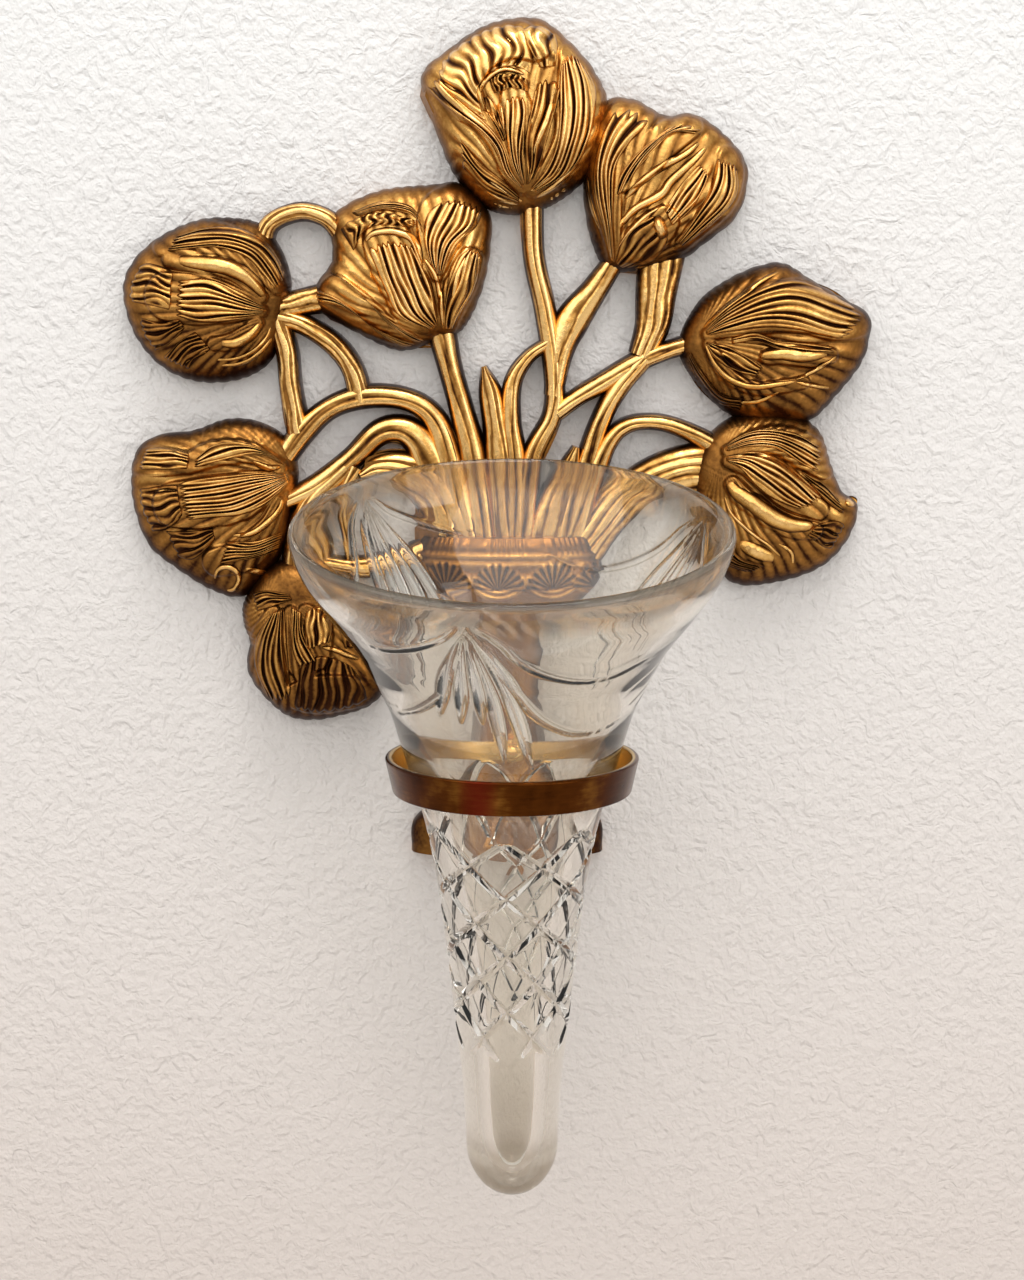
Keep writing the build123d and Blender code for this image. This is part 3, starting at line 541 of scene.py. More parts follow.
# Finer petals: (veins, lift in mm, darkness painted on it as shade and patina, rows of points in pixels
# across it from base to tip)
PETALS = {
    "top": (
        (14, 0.9, 0.05, (
            ((492, 128), (483, 112), (478, 92), (486, 78), (500, 69), (516, 68), (528, 74), (534, 78)),
            ((462, 108), (455, 92), (459, 72), (474, 55), (492, 47), (512, 47), (526, 53), (536, 62)),
            ((441, 92), (437, 78), (444, 58), (462, 42), (481, 31), (500, 25), (518, 24), (530, 32)),
        )),
        (3, 1.5, 0.0, (
            ((522, 189), (526, 192)), ((505, 174), (512, 170)), ((494, 148), (504, 146)),
            ((478, 131), (490, 126)), ((459, 117), (470, 109)), ((441, 102), (450, 92)),
            ((424, 84), (437, 78)),
        )),
        (3, 1.3, 0.1, (
            ((540, 69), (556, 67)), ((529, 50), (545, 46), (559, 48)), ((519, 30), (537, 24), (556, 34)),
        )),
        (10, 1.1, 0.35, (
            ((493, 94), (502, 91), (512, 88), (522, 90), (530, 93)),
            ((488, 80), (497, 75), (508, 73), (520, 75), (529, 80)),
        )),
        (3, 0.9, 0.3, (
            ((503, 143), (507, 140)), ((497, 131), (505, 128)), ((490, 118), (500, 115)),
            ((484, 105), (495, 103)), ((480, 93), (490, 97)),
        )),
        (5, 1.0, 0.0, (
            ((523, 187), (525, 187)), ((511, 165), (524, 165)), ((506, 140), (525, 135)),
            ((504, 115), (527, 112)), ((505, 98), (512, 95), (525, 96)),
        )),
        (4, 0.9, 0.25, (
            ((526, 186), (528, 186)), ((526, 165), (540, 165)), ((524, 140), (548, 140)),
            ((530, 112), (556, 112)), ((535, 85), (545, 78), (556, 80), (562, 88)),
        )),
        (9, 1.2, 0.05, (
            ((529, 190), (534, 196)), ((545, 168), (560, 175), (575, 168)),
            ((555, 145), (570, 145), (590, 140)), ((558, 115), (575, 115), (597, 110)),
            ((558, 85), (575, 80), (596, 85)), ((561, 60), (570, 52), (580, 60)),
        )),
        (5, 0.8, 0.3, (
            ((520, 196), (522, 206)), ((500, 178), (505, 202)), ((478, 160), (484, 190)),
            ((458, 135), (462, 168)),
        )),
    ),
    "upper_right": (
        (5, 1.2, 0.0, (
            ((611, 262), (615, 266)), ((604, 230), (613, 225)), ((594, 195), (614, 195)),
            ((593, 165), (604, 165), (617, 165)), ((600, 138), (615, 135), (632, 142)),
            ((613, 111), (630, 108), (644, 114), (652, 122)),
        )),
        (5, 1.0, 0.05, (
            ((616, 197), (620, 196)), ((620, 175), (636, 172)), ((634, 155), (655, 150)),
            ((658, 135), (675, 132)), ((665, 127), (685, 124), (702, 130), (704, 137)),
        )),
        (6, 1.3, 0.2, (
            ((615, 263), (621, 270)), ((620, 242), (635, 250), (650, 264)),
            ((632, 226), (648, 236), (664, 252)), ((650, 213), (662, 220), (670, 236)),
        )),
        (6, 1.0, 0.0, (
            ((664, 212), (672, 228)), ((672, 195), (684, 200), (694, 208)),
            ((686, 177), (697, 182), (704, 190)), ((700, 163), (706, 168), (710, 175)),
        )),
        (6, 1.2, 0.1, (
            ((677, 243), (681, 248)), ((694, 217), (702, 222), (708, 229)),
            ((706, 195), (718, 203), (730, 208)), ((712, 175), (725, 182), (739, 190)),
            ((716, 157), (728, 160), (737, 165)),
        )),
    ),
    "centre_left": (
        (11, 1.1, 0.25, (
            ((353, 255), (357, 243), (363, 232), (373, 226), (385, 225), (398, 226), (410, 227), (418, 229)),
            ((339, 230), (347, 222), (361, 216), (377, 212), (393, 213), (407, 217), (418, 221)),
        )),
        (9, 1.0, 0.0, (
            ((432, 331), (439, 326)), ((397, 316), (419, 312), (438, 312)),
            ((383, 290), (410, 287), (432, 284)), ((372, 264), (397, 261), (422, 262)),
            ((365, 248), (388, 240), (413, 245)),
        )),
        (5, 1.2, 0.05, (
            ((431, 343), (433, 346)), ((410, 332), (412, 341)), ((388, 319), (391, 328)),
            ((369, 302), (377, 313)), ((346, 280), (363, 296)), ((325, 269), (346, 282)),
        )),
        (4, 1.0, 0.1, (
            ((431, 346), (433, 348)), ((402, 340), (405, 347)), ((370, 325), (382, 336)),
            ((350, 307), (362, 320)), ((330, 294), (340, 307)), ((311, 288), (312, 304)),
        )),
        (9, 1.2, 0.05, (
            ((437, 276), (440, 278)), ((428, 258), (438, 262), (448, 262)),
            ((423, 238), (441, 240), (459, 244)), ((425, 215), (447, 217), (478, 228)),
            ((438, 203), (455, 199), (475, 204), (484, 210)),
        )),
        (6, 1.0, 0.2, (
            ((420, 215), (424, 236)), ((408, 204), (412, 216)), ((380, 201), (383, 210)),
            ((350, 212), (356, 217)),
        )),
        (5, 1.1, 0.1, (
            ((442, 330), (453, 331)), ((444, 306), (462, 312)), ((449, 280), (474, 292)),
            ((458, 258), (479, 275)), ((470, 246), (481, 252)),
        )),
    ),
    "far_left": (
        (7, 1.0, 0.1, (
            ((276, 292), (288, 279)), ((262, 275), (279, 257)), ((244, 257), (264, 239)),
            ((214, 248), (239, 227)), ((185, 250), (207, 227)), ((165, 252), (173, 237)),
        )),
        (10, 1.0, 0.0, (
            ((266, 308), (268, 311), (265, 313)), ((239, 290), (239, 304), (239, 321)),
            ((208, 277), (208, 300), (202, 324)), ((177, 280), (175, 304), (175, 317)),
        )),
        (7, 1.2, 0.1, (
            ((175, 270), (172, 285), (172, 300), (170, 312)),
            ((150, 262), (148, 280), (143, 296), (141, 305)),
            ((140, 265), (131, 282), (129, 296), (133, 303)),
        )),
        (5, 0.9, 0.3, (
            ((178, 318), (182, 322), (186, 328)), ((160, 322), (163, 333), (170, 345)),
            ((138, 315), (143, 334), (155, 352)),
        )),
        (7, 0.9, 0.25, (
            ((195, 330), (204, 340), (212, 352)), ((182, 339), (180, 348), (195, 360)),
            ((161, 357), (172, 363), (190, 370)),
        )),
    ),
    "lower_left": (
        (5, 1.1, 0.0, (
            ((283, 462), (287, 466)), ((258, 446), (262, 456)), ((234, 441), (237, 458)),
            ((212, 445), (214, 463)), ((195, 459), (193, 468)),
        )),
        (14, 1.0, 0.0, (
            ((288, 472), (290, 476), (292, 480)), ((256, 471), (259, 487), (268, 504)),
            ((231, 473), (231, 496), (243, 516)), ((200, 476), (202, 499), (214, 519)),
            ((177, 480), (181, 506), (187, 522)),
        )),
        (6, 1.2, 0.1, (
            ((190, 452), (190, 460), (188, 470)), ((165, 447), (163, 460), (165, 470)),
            ((146, 448), (141, 460), (138, 470)),
        )),
        (7, 0.9, 0.35, (
            ((178, 483), (180, 500), (184, 518)), ((155, 485), (160, 510), (168, 530)),
            ((139, 487), (141, 508), (152, 533)),
        )),
        (9, 1.1, 0.1, (
            ((285, 530), (282, 540), (280, 552)), ((255, 540), (255, 550), (250, 560)),
            ((225, 540), (222, 555), (218, 565)),
        )),
        (5, 0.8, 0.4, (((214, 528), (216, 540)), ((190, 530), (194, 560)), ((164, 530), (178, 558)))),
    ),
    "drooping": (
        (6, 0.9, 0.3, (((290, 594), (293, 600)), ((268, 590), (276, 606)), ((252, 592), (256, 612)))),
        (8, 1.0, 0.2, (
            ((272, 612), (284, 605)), ((254, 640), (272, 640), (288, 635)),
            ((254, 668), (272, 672), (290, 665)), ((268, 700), (282, 702), (292, 695)),
        )),
        (5, 1.2, 0.0, (
            ((291, 605), (302, 612)), ((290, 632), (305, 635)), ((293, 655), (312, 652)),
            ((300, 668), (318, 662)),
        )),
        (5, 1.5, 0.0, (
            ((305, 612), (316, 606), (330, 608)), ((303, 625), (318, 622), (334, 625)),
            ((305, 652), (330, 643)),
        )),
        (10, 1.0, 0.45, (
            ((298, 665), (320, 655), (345, 662), (357, 672)),
            ((295, 690), (318, 688), (345, 685), (368, 690)),
            ((290, 708), (318, 714), (345, 710), (370, 700)),
        )),
        (4, 0.9, 0.35, (((334, 606), (340, 602)), ((338, 628), (352, 624)), ((345, 650), (366, 646)))),
    ),
    "right": (
        (9, 1.1, 0.05, (
            ((703, 333), (705, 336)), ((729, 307), (731, 332)), ((761, 286), (764, 329)),
            ((794, 278), (797, 307), (800, 332)), ((829, 288), (833, 313), (835, 340)),
            ((852, 304), (863, 317), (849, 337)),
        )),
        (3, 1.1, 0.1, (
            ((729, 338), (730, 345)), ((756, 333), (757, 342)), ((777, 340), (778, 349)),
            ((797, 342), (798, 352)), ((835, 345), (836, 354)),
        )),
        (5, 1.1, 0.1, (
            ((706, 341), (705, 343)), ((726, 345), (715, 360)), ((745, 355), (737, 372)),
            ((765, 367), (757, 378)),
        )),
        (6, 0.8, 0.45, (
            ((690, 350), (684, 356)), ((704, 374), (694, 382)), ((722, 394), (716, 404)),
            ((745, 398), (742, 412)),
        )),
    ),
    "lower_right": (
        (8, 1.1, 0.05, (
            ((724, 446), (724, 452)), ((749, 430), (751, 447)), ((772, 427), (775, 438), (777, 450)),
            ((798, 433), (800, 447), (802, 465)), ((821, 447), (822, 460), (818, 474)),
        )),
        (8, 1.2, 0.0, (
            ((724, 456), (725, 461)), ((752, 451), (748, 460), (741, 470)),
            ((776, 455), (768, 470), (755, 488)), ((798, 470), (788, 487), (772, 500)),
            ((826, 497), (815, 505), (800, 510)),
        )),
        (5, 0.9, 0.35, (((800, 470), (806, 478)), ((820, 480), (824, 500)), ((840, 500), (846, 516)))),
        (6, 0.8, 0.45, (((820, 522), (806, 536)), ((838, 520), (822, 548)), ((846, 524), (832, 550)))),
        (6, 0.8, 0.45, (
            ((712, 500), (706, 490)), ((722, 530), (710, 530)), ((740, 556), (722, 562)),
            ((768, 566), (750, 574)),
        )),
    ),
}
# Smooth ridges: (width in pixels, lift in mm, points in pixels)
RIDGES = {
    "top": (
        (5, 1.9, ((480, 93), (484, 83), (493, 74), (504, 69), (516, 71), (526, 75))),
        (3, 1.4, ((501, 105), (503, 120), (504, 136))),
        (7, 1.8, ((553, 92), (551, 105), (546, 122), (539, 138), (535, 150), (535, 160))),
        (5, 1.2, ((530, 192), (548, 180), (562, 166), (575, 152))),
        (5, 1.1, ((535, 199), (552, 188), (568, 174), (580, 160))),
        (5, 0.9, ((542, 205), (558, 196), (571, 185))),
        (4, 1.0, ((525, 203), (510, 196), (496, 186), (484, 175))),
        (4, 0.9, ((522, 205), (502, 200), (485, 190))),
        (3, 0.8, ((518, 209), (502, 207), (490, 202))),
    ),
    "upper_right": (
        (4, 1.3, ((586, 130), (585, 160), (587, 190), (593, 212), (601, 232))),
        (7, 1.9, ((624, 200), (640, 183), (660, 168), (684, 155), (700, 142))),
        (8, 1.7, ((617, 230), (634, 210), (661, 194), (671, 181), (694, 160), (708, 145))),
        (5, 1.3, ((618, 248), (630, 232), (644, 218), (660, 206))),
        (20, 3.4, ((653, 230), (660, 228), (667, 226))),
    ),
    "centre_left": (
        (7, 2.0, (
            (365, 242), (372, 234), (385, 231), (397, 232), (410, 237), (416, 245), (419, 256), (422, 269),
        )),
        (6, 1.7, ((471, 250), (464, 262), (458, 275), (454, 295), (451, 312))),
        (5, 1.6, ((424, 258), (435, 275), (440, 297), (444, 331))),
    ),
    "far_left": (
        (14, 1.9, ((265, 297), (258, 287), (246, 276), (227, 267), (202, 263), (176, 260))),
        (10, 1.7, ((262, 323), (251, 335), (236, 343), (220, 343))),
        (4, 1.0, ((272, 323), (267, 337), (252, 352), (234, 359), (213, 360))),
        (4, 0.9, ((276, 334), (258, 354), (239, 364), (213, 366))),
    ),
    "lower_left": (
        (6, 1.5, ((281, 466), (272, 468), (262, 466), (252, 461))),
        (6, 1.5, ((283, 497), (280, 509), (268, 522), (252, 533), (232, 536))),
        (5, 1.4, ((214, 580), (218, 570), (227, 567), (236, 571), (239, 580), (234, 589), (225, 591))),
        (6, 1.2, ((244, 568), (258, 572), (274, 574))),
    ),
    "drooping": ((5, 1.5, ((321, 647), (335, 650), (353, 657), (361, 659))),),
    "right": (
        (5, 1.4, ((702, 329), (722, 310), (742, 295), (761, 281), (783, 270))),
        (11, 1.8, ((758, 356), (783, 354), (804, 356), (828, 354))),
        (6, 1.6, ((705, 344), (715, 365), (731, 380), (753, 387), (781, 384), (797, 381))),
        (4, 1.3, ((795, 380), (812, 372), (826, 364), (837, 356))),
        (4, 1.2, ((795, 382), (814, 386), (831, 388))),
        (4, 0.9, ((731, 403), (756, 402), (772, 396), (782, 391))),
    ),
    "lower_right": (
        (15, 2.0, ((728, 481), (736, 492), (752, 503), (770, 516), (788, 524), (807, 526), (814, 529))),
        (4, 1.0, ((724, 494), (731, 513), (749, 531), (768, 545), (782, 558))),
        (13, 1.3, ((739, 543), (757, 552), (775, 559))),
        (4, 1.0, ((777, 543), (791, 552), (793, 566))),
        (9, 1.6, ((845, 502), (851, 502), (857, 503))),
    ),
}

# A tulip's skin, petals and ridges, in mm
SKIN = 0.25
OVERHANG = 0.3
NOTCH = 0.3
VEIN_DEPTH = 0.75
PETAL_VEIN_DEPTH = 1.3
SUNK = 0.5
SHADE_FALL = 25.0
# The veins of the skin in half a turn about the stem, and the share of the skin's sheet that is its side
VEINS_IN_HALF_TURN = 31
SIDE = 0.1
# Points that a petal's rows are made of, across and along, and those of a ridge
PETAL_ACROSS = 25
PETAL_ALONG = 61
RIDGE_POINTS = 49
# The ridges were read a little slim and low
RIDGE_WIDER = 1.35
RIDGE_HIGHER = 1.3


class Tulip:
    """A tulip's dome with its raised main petals: what its skin follows and its finer petals lie on."""

    def __init__(self, name):
        wall = on_ray(*np.array(OUTLINES[name], float).T, 0.0)
        line = smooth_line(wall[:, [0, 2]], 241, closed=True)[:-1]
        self.middle = line.mean(axis=0)
        out = line - self.middle
        angle = np.arctan2(out[:, 1], out[:, 0])
        order = np.argsort(angle)
        self.angles = np.concatenate([angle[order] - TURN, angle[order], angle[order] + TURN])
        self.radii = np.tile(np.linalg.norm(out, axis=1)[order], 3)
        self.crown = CROWNS[name] * MM
        self.tarnish_and_shade = TARNISH_AND_SHADE[name]
        self.base = on_ray(*BASES[name], 0.0)[[0, 2]]
        marks = np.vstack([smooth_line(bar, 60) for bar in PADS[name]])
        self.pad_places = on_ray(marks[:, 0], marks[:, 1], 0.0)[:, [0, 2]]
        self.pad_halves = marks[:, 2] / FOCAL * DISTANCE / 2

    def reach(self, angle):
        return np.interp(angle, self.angles, self.radii)

    def on_pad(self, x, z):
        """1 on a main petal, falling to 0 beside it."""
        away_x, away_z = x[:, None] - self.pad_places[:, 0], z[:, None] - self.pad_places[:, 1]
        gap = (np.hypot(away_x, away_z) - self.pad_halves).min(axis=1)
        near = fall(gap, 1.5 * MM, 1.1 * MM)
        return near * near * (3 - 2 * near)

    def low(self, z):
        """0 at the tulip's middle and above it, up to 1 below it: painted shade, as the light from above
        falls off.
        """
        return fall(z, self.middle[1], SHADE_FALL * MM)

    def height(self, x, z):
        """How far the dome and its pads stand off the wall at a place, and how near the outline that is."""
        out_x, out_z = x - self.middle[0], z - self.middle[1]
        share = np.hypot(out_x, out_z) / self.reach(np.arctan2(out_z, out_x))
        crown = self.crown + PAD * MM * self.on_pad(x, z)
        return EDGE * MM + (crown - EDGE * MM) * dome(share, 4) + SKIN * MM, share

    def veins(self, x, z):
        """The lines that spread from the stem, slowly wandering: 1 in a line, 0 between two."""
        spread = np.arctan2(z - self.base[1], x - self.base[0])
        return lines(VEINS_IN_HALF_TURN * spread + 2.0 * wander(x * 22, z * 22, 1.7), 1.1)

    def skin(self, bm, cut):
        """The dome from the wall up and over to its middle, with veins that spread from the stem."""

        def place(u, v):
            angle = u * TURN
            share = np.where(v < SIDE, 1.0, 1 - rise(v, SIDE, 1 - SIDE) ** 1.35)
            edge = self.reach(((angle + math.pi) % TURN) - math.pi) + OVERHANG * MM
            rim_x = self.middle[0] + edge * np.cos(angle)
            rim_z = self.middle[1] + edge * np.sin(angle)
            notch = NOTCH * MM * (1 - self.veins(rim_x, rim_z)) * rise(v, 0, SIDE)
            radius = (edge + notch) * share
            x = self.middle[0] + radius * np.cos(angle)
            z = self.middle[1] + radius * np.sin(angle)
            crown = self.crown + PAD * MM * self.on_pad(x, z) + SKIN * MM
            over = EDGE * MM + (crown - EDGE * MM) * dome(share, 4)
            off = np.where(v < SIDE, EDGE * MM * v / SIDE, over)
            line = self.veins(x, z)
            # the veins are faint in places, and fade near the outline and near the stem
            faint = 0.62 + 0.38 * wander(x * 45, z * 45, 3.1)
            from_stem = np.hypot(x - self.base[0], z - self.base[1])
            inside = fall(share, 0.95, 0.16) * rise(from_stem, 3 * MM, 8 * MM) * faint
            off = off + VEIN_DEPTH * MM * inside * (1 - line) * (v > SIDE)
            depth = 0.42 + self.tarnish_and_shade + (0.6 * line - 0.3) * inside
            # darker near the outline, patina and painted shade on the flank that turns away, and painted
            # shade below the tulip's middle
            depth = depth + 0.3 * rise(share, 0.9, 0.1) + 0.2 * self.low(z)
            return np.stack([x, -off, z], axis=-1), np.clip(depth, 0, 1)

        sheet(bm, 300, 78, place, cut)

    def settle(self, pixel, lifted):
        """Stands points seen at these pixels lifted mm over the dome."""
        off = np.full(len(pixel), 11.0 * MM)
        for _ in range(4):
            spot = on_ray(pixel[:, 0], pixel[:, 1], off)
            ground, share = self.height(spot[:, 0], spot[:, 2])
            off = ground + lifted * MM * fall(share, 1.04, 0.12)
        spot[:, 1] = -off
        return spot, share

    def petal(self, bm, cut, veins, lift, dark, rows, seed):
        """A finer petal: a sheet over its rows of points, with a raised rim and veins along it."""
        table = np.array([smooth_line(row, PETAL_ACROSS) for row in rows])
        fine = np.stack([smooth_line(table[:, k], PETAL_ALONG) for k in range(PETAL_ACROSS)], axis=1)

        def place(u, v):
            t = 2 * u - 1
            phase = 0.85 * veins * u + 0.7 * wander(u * 0.9, v * 0.8, seed)
            line = lines(math.pi * phase, 0.9)
            # each vein has a strength of its own
            strength = 0.66 + 0.34 * np.sin(np.floor(phase + 0.5) * 2.7 + seed * 1.9 + 4 * v)
            rim = hump(np.abs(t), 0.87, 0.07) * rise(v, 0, 0.2)
            pixel = between(fine, v * (0.95 + 0.05 * (1 - line)), u)
            body = np.clip(1 - np.abs(t) ** 8, 0, 1) * fall(v, 1, 0.045) ** 0.5 * rise(v, 0, 0.04)
            fade = rise(v, 0, 0.08)
            full = 0.55 + 0.45 * rise(v, 0, 0.35) + 0.25 * wander(u, v * 2, seed + 5) * v
            line = line * (1 - 0.8 * rim)
            lifted = -SUNK + (0.75 + 1.35 * lift * full + 0.5 * (1 - t**2) + 0.4 * rim) * body
            lifted = lifted - PETAL_VEIN_DEPTH * line * strength * fade * body
            spot, share = self.settle(pixel, lifted)
            # patina and painted shade along the petal's sides and at its tip, where it meets the petals
            # around it
            border_shade_and_patina = np.abs(t) ** 8 * 0.9 + rise(v, 0.96, 0.04) * 0.7
            # the petal's darkness, listed for each, is painted shade and patina
            depth = np.maximum(line * strength * (0.5 + 0.5 * fade) * 1.15, border_shade_and_patina) + dark * 0.8
            # painted shade below the tulip's middle, and near its outline on the flank that turns away
            depth = depth + self.tarnish_and_shade - 0.12 * rim + 0.18 * self.low(spot[:, 2])
            depth = np.maximum(depth, rise(share, 0.92, 0.08) * 0.6)
            return spot, np.clip(depth, 0, 1)

        sheet(bm, min(130, max(18, 10 * veins)), 60, place, cut)

    def ridge(self, bm, cut, width, lift, points, seed):
        """A smooth ridge, slimmer and lower towards its ends."""
        line = smooth_line(points, RIDGE_POINTS)
        run = heading(line)
        aside = np.stack([-run[:, 1], run[:, 0]], axis=-1)

        def place(u, v):
            t = 2 * u - 1
            slim = np.sin(math.pi * np.clip(v, 0, 1)) ** 0.4
            pixel = along(line, v) + along(aside, v) * (t * width / 2 * (0.25 + 0.75 * slim))[:, None]
            lifted = -SUNK + (SUNK + lift + 0.12 * wander(u, v * 4, seed)) * (dome(t) * slim)
            spot = self.settle(pixel, lifted)[0]
            # patina and painted shade on the ridge's sides and sunk ends
            depth = np.abs(t) ** 3 * 1.1 + (1 - slim) * 0.3 + self.tarnish_and_shade
            return spot, np.clip(depth, 0, 1)

        sheet(bm, 12, RIDGE_POINTS - 1, place, cut)


def build_tulips():
    for name in OUTLINES:
        tulip = Tulip(name)
        bm, cut = new_mesh()
        tulip.skin(bm, cut)
        bmesh.ops.remove_doubles(bm, verts=bm.verts, dist=1e-6)
        for k, (veins, lift, dark, rows) in enumerate(PETALS[name]):
            tulip.petal(bm, cut, veins, lift, dark, rows, k * 1.7 + len(name))
        for k, (width, lift, points) in enumerate(RIDGES[name]):
            tulip.ridge(bm, cut, RIDGE_WIDER * width, RIDGE_HIGHER * lift, points, k * 2.1)
        turn_outwards(bm)
        piece("tulip_" + name, bm, BRASS, "plaque")


build_tulips()

# Stems and leaves: (ridges, their depth in mm, (column, row, width) in pixels along the middle)
STEMS = (
    (2, 0.5, (
        (532, 200, 22), (534, 257, 21), (545, 310, 21), (554, 375, 20), (552, 415, 20), (532, 460, 22),
        (522, 556, 26),
    )),
    (2, 0.5, ((616, 258, 20), (594, 290, 26), (571, 322, 34), (560, 352, 26), (553, 395, 18))),
    (4, 0.6, ((662, 250, 46), (656, 290, 40), (652, 325, 34), (640, 356, 24))),
    (2, 0.5, ((440, 322, 30), (450, 366, 24), (462, 410, 24), (474, 460, 28), (486, 556, 30))),
    (3, 0.5, ((484, 366, 5), (490, 390, 22), (496, 425, 26), (500, 470, 30), (506, 556, 30))),
    (2, 0.5, (
        (549, 342, 12), (528, 357, 14), (513, 382, 18), (511, 420, 20), (516, 465, 22), (516, 556, 26),
    )),
    (3, 0.5, ((262, 250, 22), (272, 224, 18), (301, 212, 18), (328, 219, 18), (346, 238, 22))),
    (3, 0.5, ((270, 312, 26), (300, 303, 26), (336, 296, 30))),
    (3, 0.6, ((276, 312, 22), (288, 350, 22), (292, 388, 22), (300, 432, 24))),
    (3, 0.6, ((276, 316, 18), (306, 325, 20), (336, 345, 22), (354, 370, 22), (362, 402, 24))),
    (2, 0.5, (
        (276, 470, 24), (302, 434, 24), (330, 408, 22), (366, 396, 24), (408, 399, 22), (436, 420, 24),
        (452, 470, 30), (470, 556, 34),
    )),
    (2, 0.5, (
        (286, 500, 18), (318, 484, 22), (352, 458, 22), (382, 431, 26), (410, 432, 30), (430, 462, 36),
        (452, 556, 34),
    )),
    (4, 0.5, ((362, 474, 8), (380, 468, 30), (404, 472, 44), (436, 492, 54), (470, 556, 56))),
    (3, 0.5, ((298, 582, 28), (301, 550, 34), (306, 518, 30), (322, 490, 24), (348, 466, 22))),
    (2, 0.4, ((358, 466, 18), (343, 498, 13), (339, 534, 13), (346, 568, 16))),
    (3, 0.5, ((300, 568, 20), (350, 572, 22), (396, 562, 26), (440, 552, 34), (476, 556, 30))),
    (3, 0.5, ((576, 446, 8), (566, 478, 30), (552, 520, 46), (545, 556, 50))),
    (2, 0.5, (
        (704, 340, 20), (670, 349, 18), (636, 362, 20), (604, 381, 20), (578, 396, 18), (556, 412, 18),
    )),
    (2, 0.5, ((644, 358, 18), (620, 385, 20), (602, 416, 20), (586, 462, 22), (560, 556, 26))),
    (2, 0.5, (
        (728, 455, 24), (694, 434, 18), (660, 422, 16), (628, 424, 16), (608, 442, 18), (592, 480, 24),
        (570, 556, 30),
    )),
    (5, 0.5, ((716, 468, 54), (684, 470, 50), (650, 482, 46), (616, 508, 44), (580, 556, 44))),
)

STEM_POINTS = 61
STEM_CROWN = 8.0
STEM_OVERHANG = 0.2
# The share of a half width that the side wall takes
STEM_SIDE = 0.2


def stem(bm, cut, ridges, ridge_depth, path, seed):
    """A stem or a leaf: side walls, and a crown with ridges along it that wander and run together."""
    line = smooth_line(path, STEM_POINTS)
    spots = on_ray(line[:, 0], line[:, 1], 0.0)
    sides = on_ray(line[:, 0] + line[:, 2], line[:, 1], 0.0)
    half = np.linalg.norm(sides - spots, axis=1) / 2 + STEM_OVERHANG * MM
    run = heading(spots)
    aside = np.stack([-run[:, 2], 0 * run[:, 0], run[:, 0]], axis=-1)

    def place(u, v):
        t = 2 * u - 1
        side = np.abs(t) > 1 - STEM_SIDE
        across = np.sign(t) * np.clip(np.abs(t) / (1 - STEM_SIDE), 0, 1)
        crown = EDGE + (STEM_CROWN - EDGE) * dome(np.abs(across), 2.4)
        off = np.where(side, EDGE * (1 - np.abs(t)) / STEM_SIDE, crown)
        phase = ridges * (across + 1) / 2 + 0.25 * wander(across, v * 1.6, seed + 1.0)
        strength = 0.6 + 0.4 * wander(across * 1.5, v * 3, seed + 9.0)
        cutting = lines(math.pi * phase, 1.8) * (~side) * (np.abs(across) < 0.96)
        cutting = cutting * np.clip(strength + 0.35, 0.25, 1)
        off = off - ridge_depth * cutting
        points = along(spots, v) + along(aside, v) * (along(half, v) * across)[:, None]
        points[:, 1] = -off * MM
        # patina and painted shade on the stem's sides, which turn away
        flank_shade_and_patina = rise(np.abs(across), 0.6, 0.4) ** 1.3
        stain = 0.16 * wander(across * 2, v * 9, seed + 4.0)
        return points, np.clip(cutting * 0.9 + flank_shade_and_patina * 0.8 + stain, 0, 1)

    sheet(bm, 12 + 10 * ridges, STEM_POINTS - 1, place, cut)


def build_stems():
    bm, cut = new_mesh()
    for seed, (ridges, ridge_depth, path) in enumerate(STEMS):
        stem(bm, cut, ridges, ridge_depth, path, seed)
    turn_outwards(bm)
    piece("stems", bm, BRASS, "plaque")


build_stems()

# The urn: (row, width) in pixels down its middle, and the share of its full depth there
URN = (
    (536, 172, 0.86), (556, 188, 1.0), (578, 190, 1.0), (600, 156, 0.93), (626, 104, 0.78), (650, 78, 0.66),
    (690, 66, 0.62), (715, 78, 0.78), (733, 88, 0.84), (752, 78, 0.78), (775, 92, 0.72), (800, 146, 0.8),
    (820, 188, 0.92), (848, 190, 0.9),
)
URN_COLUMN = 507
URN_POINTS = 181
# Its depth and the height of its side wall in mm, and the share of a half width that the side wall takes
URN_DEPTH = 14.3
URN_EDGE = 2.6
URN_OVERHANG = 0.3
URN_SIDE = 0.12
# The two lines under its lip: row and half width in pixels, height in mm; above them lies a leafy band
LIP_LINES = ((553, 2.6, 1.1), (561, 2.2, 0.9))
LEAF_ROW = 543
LEAF_HALF = 7
# The shells of its frieze: ribs that spread up from SHELL_ROW, and two hoops below each, in pixels
SHELL_COLUMNS = (445, 498, 553, 600)
SHELL_ROW = 587
SHELL_TOP = 560
SHELL_REACH = 27
RIBS_IN_HALF_TURN = 10.5
HOOP_ROW = 566
HOOP_TOP = 572
HOOP_REACHES = (25, 31)


def shells(column, row):
    """How high the frieze's shells and hoops stand at a place, in mm, and how dark it is between the ribs."""
    high, shade = np.zeros_like(row), np.zeros_like(row)
    for centre in SHELL_COLUMNS:
        away = np.hypot(column - centre, row - SHELL_ROW)
        angle = np.arctan2(row - SHELL_ROW, column - centre)
        inside = (away < SHELL_REACH) & (row < SHELL_ROW) & (row > SHELL_TOP)
        ribs = np.abs(np.sin(angle * RIBS_IN_HALF_TURN))
        high = np.where(inside, 0.7 * ribs * np.clip(away / 16, 0.3, 1), high)
        shade = np.where(inside, 0.6 * (1 - ribs) ** 0.8, shade)
        hoop_away = np.hypot(column - centre, (row - HOOP_ROW) * 1.1)
        for reach in HOOP_REACHES:
            high = np.maximum(high, 0.9 * (hump(hoop_away, reach, 2.0) * (row > HOOP_TOP)))
    return high, shade


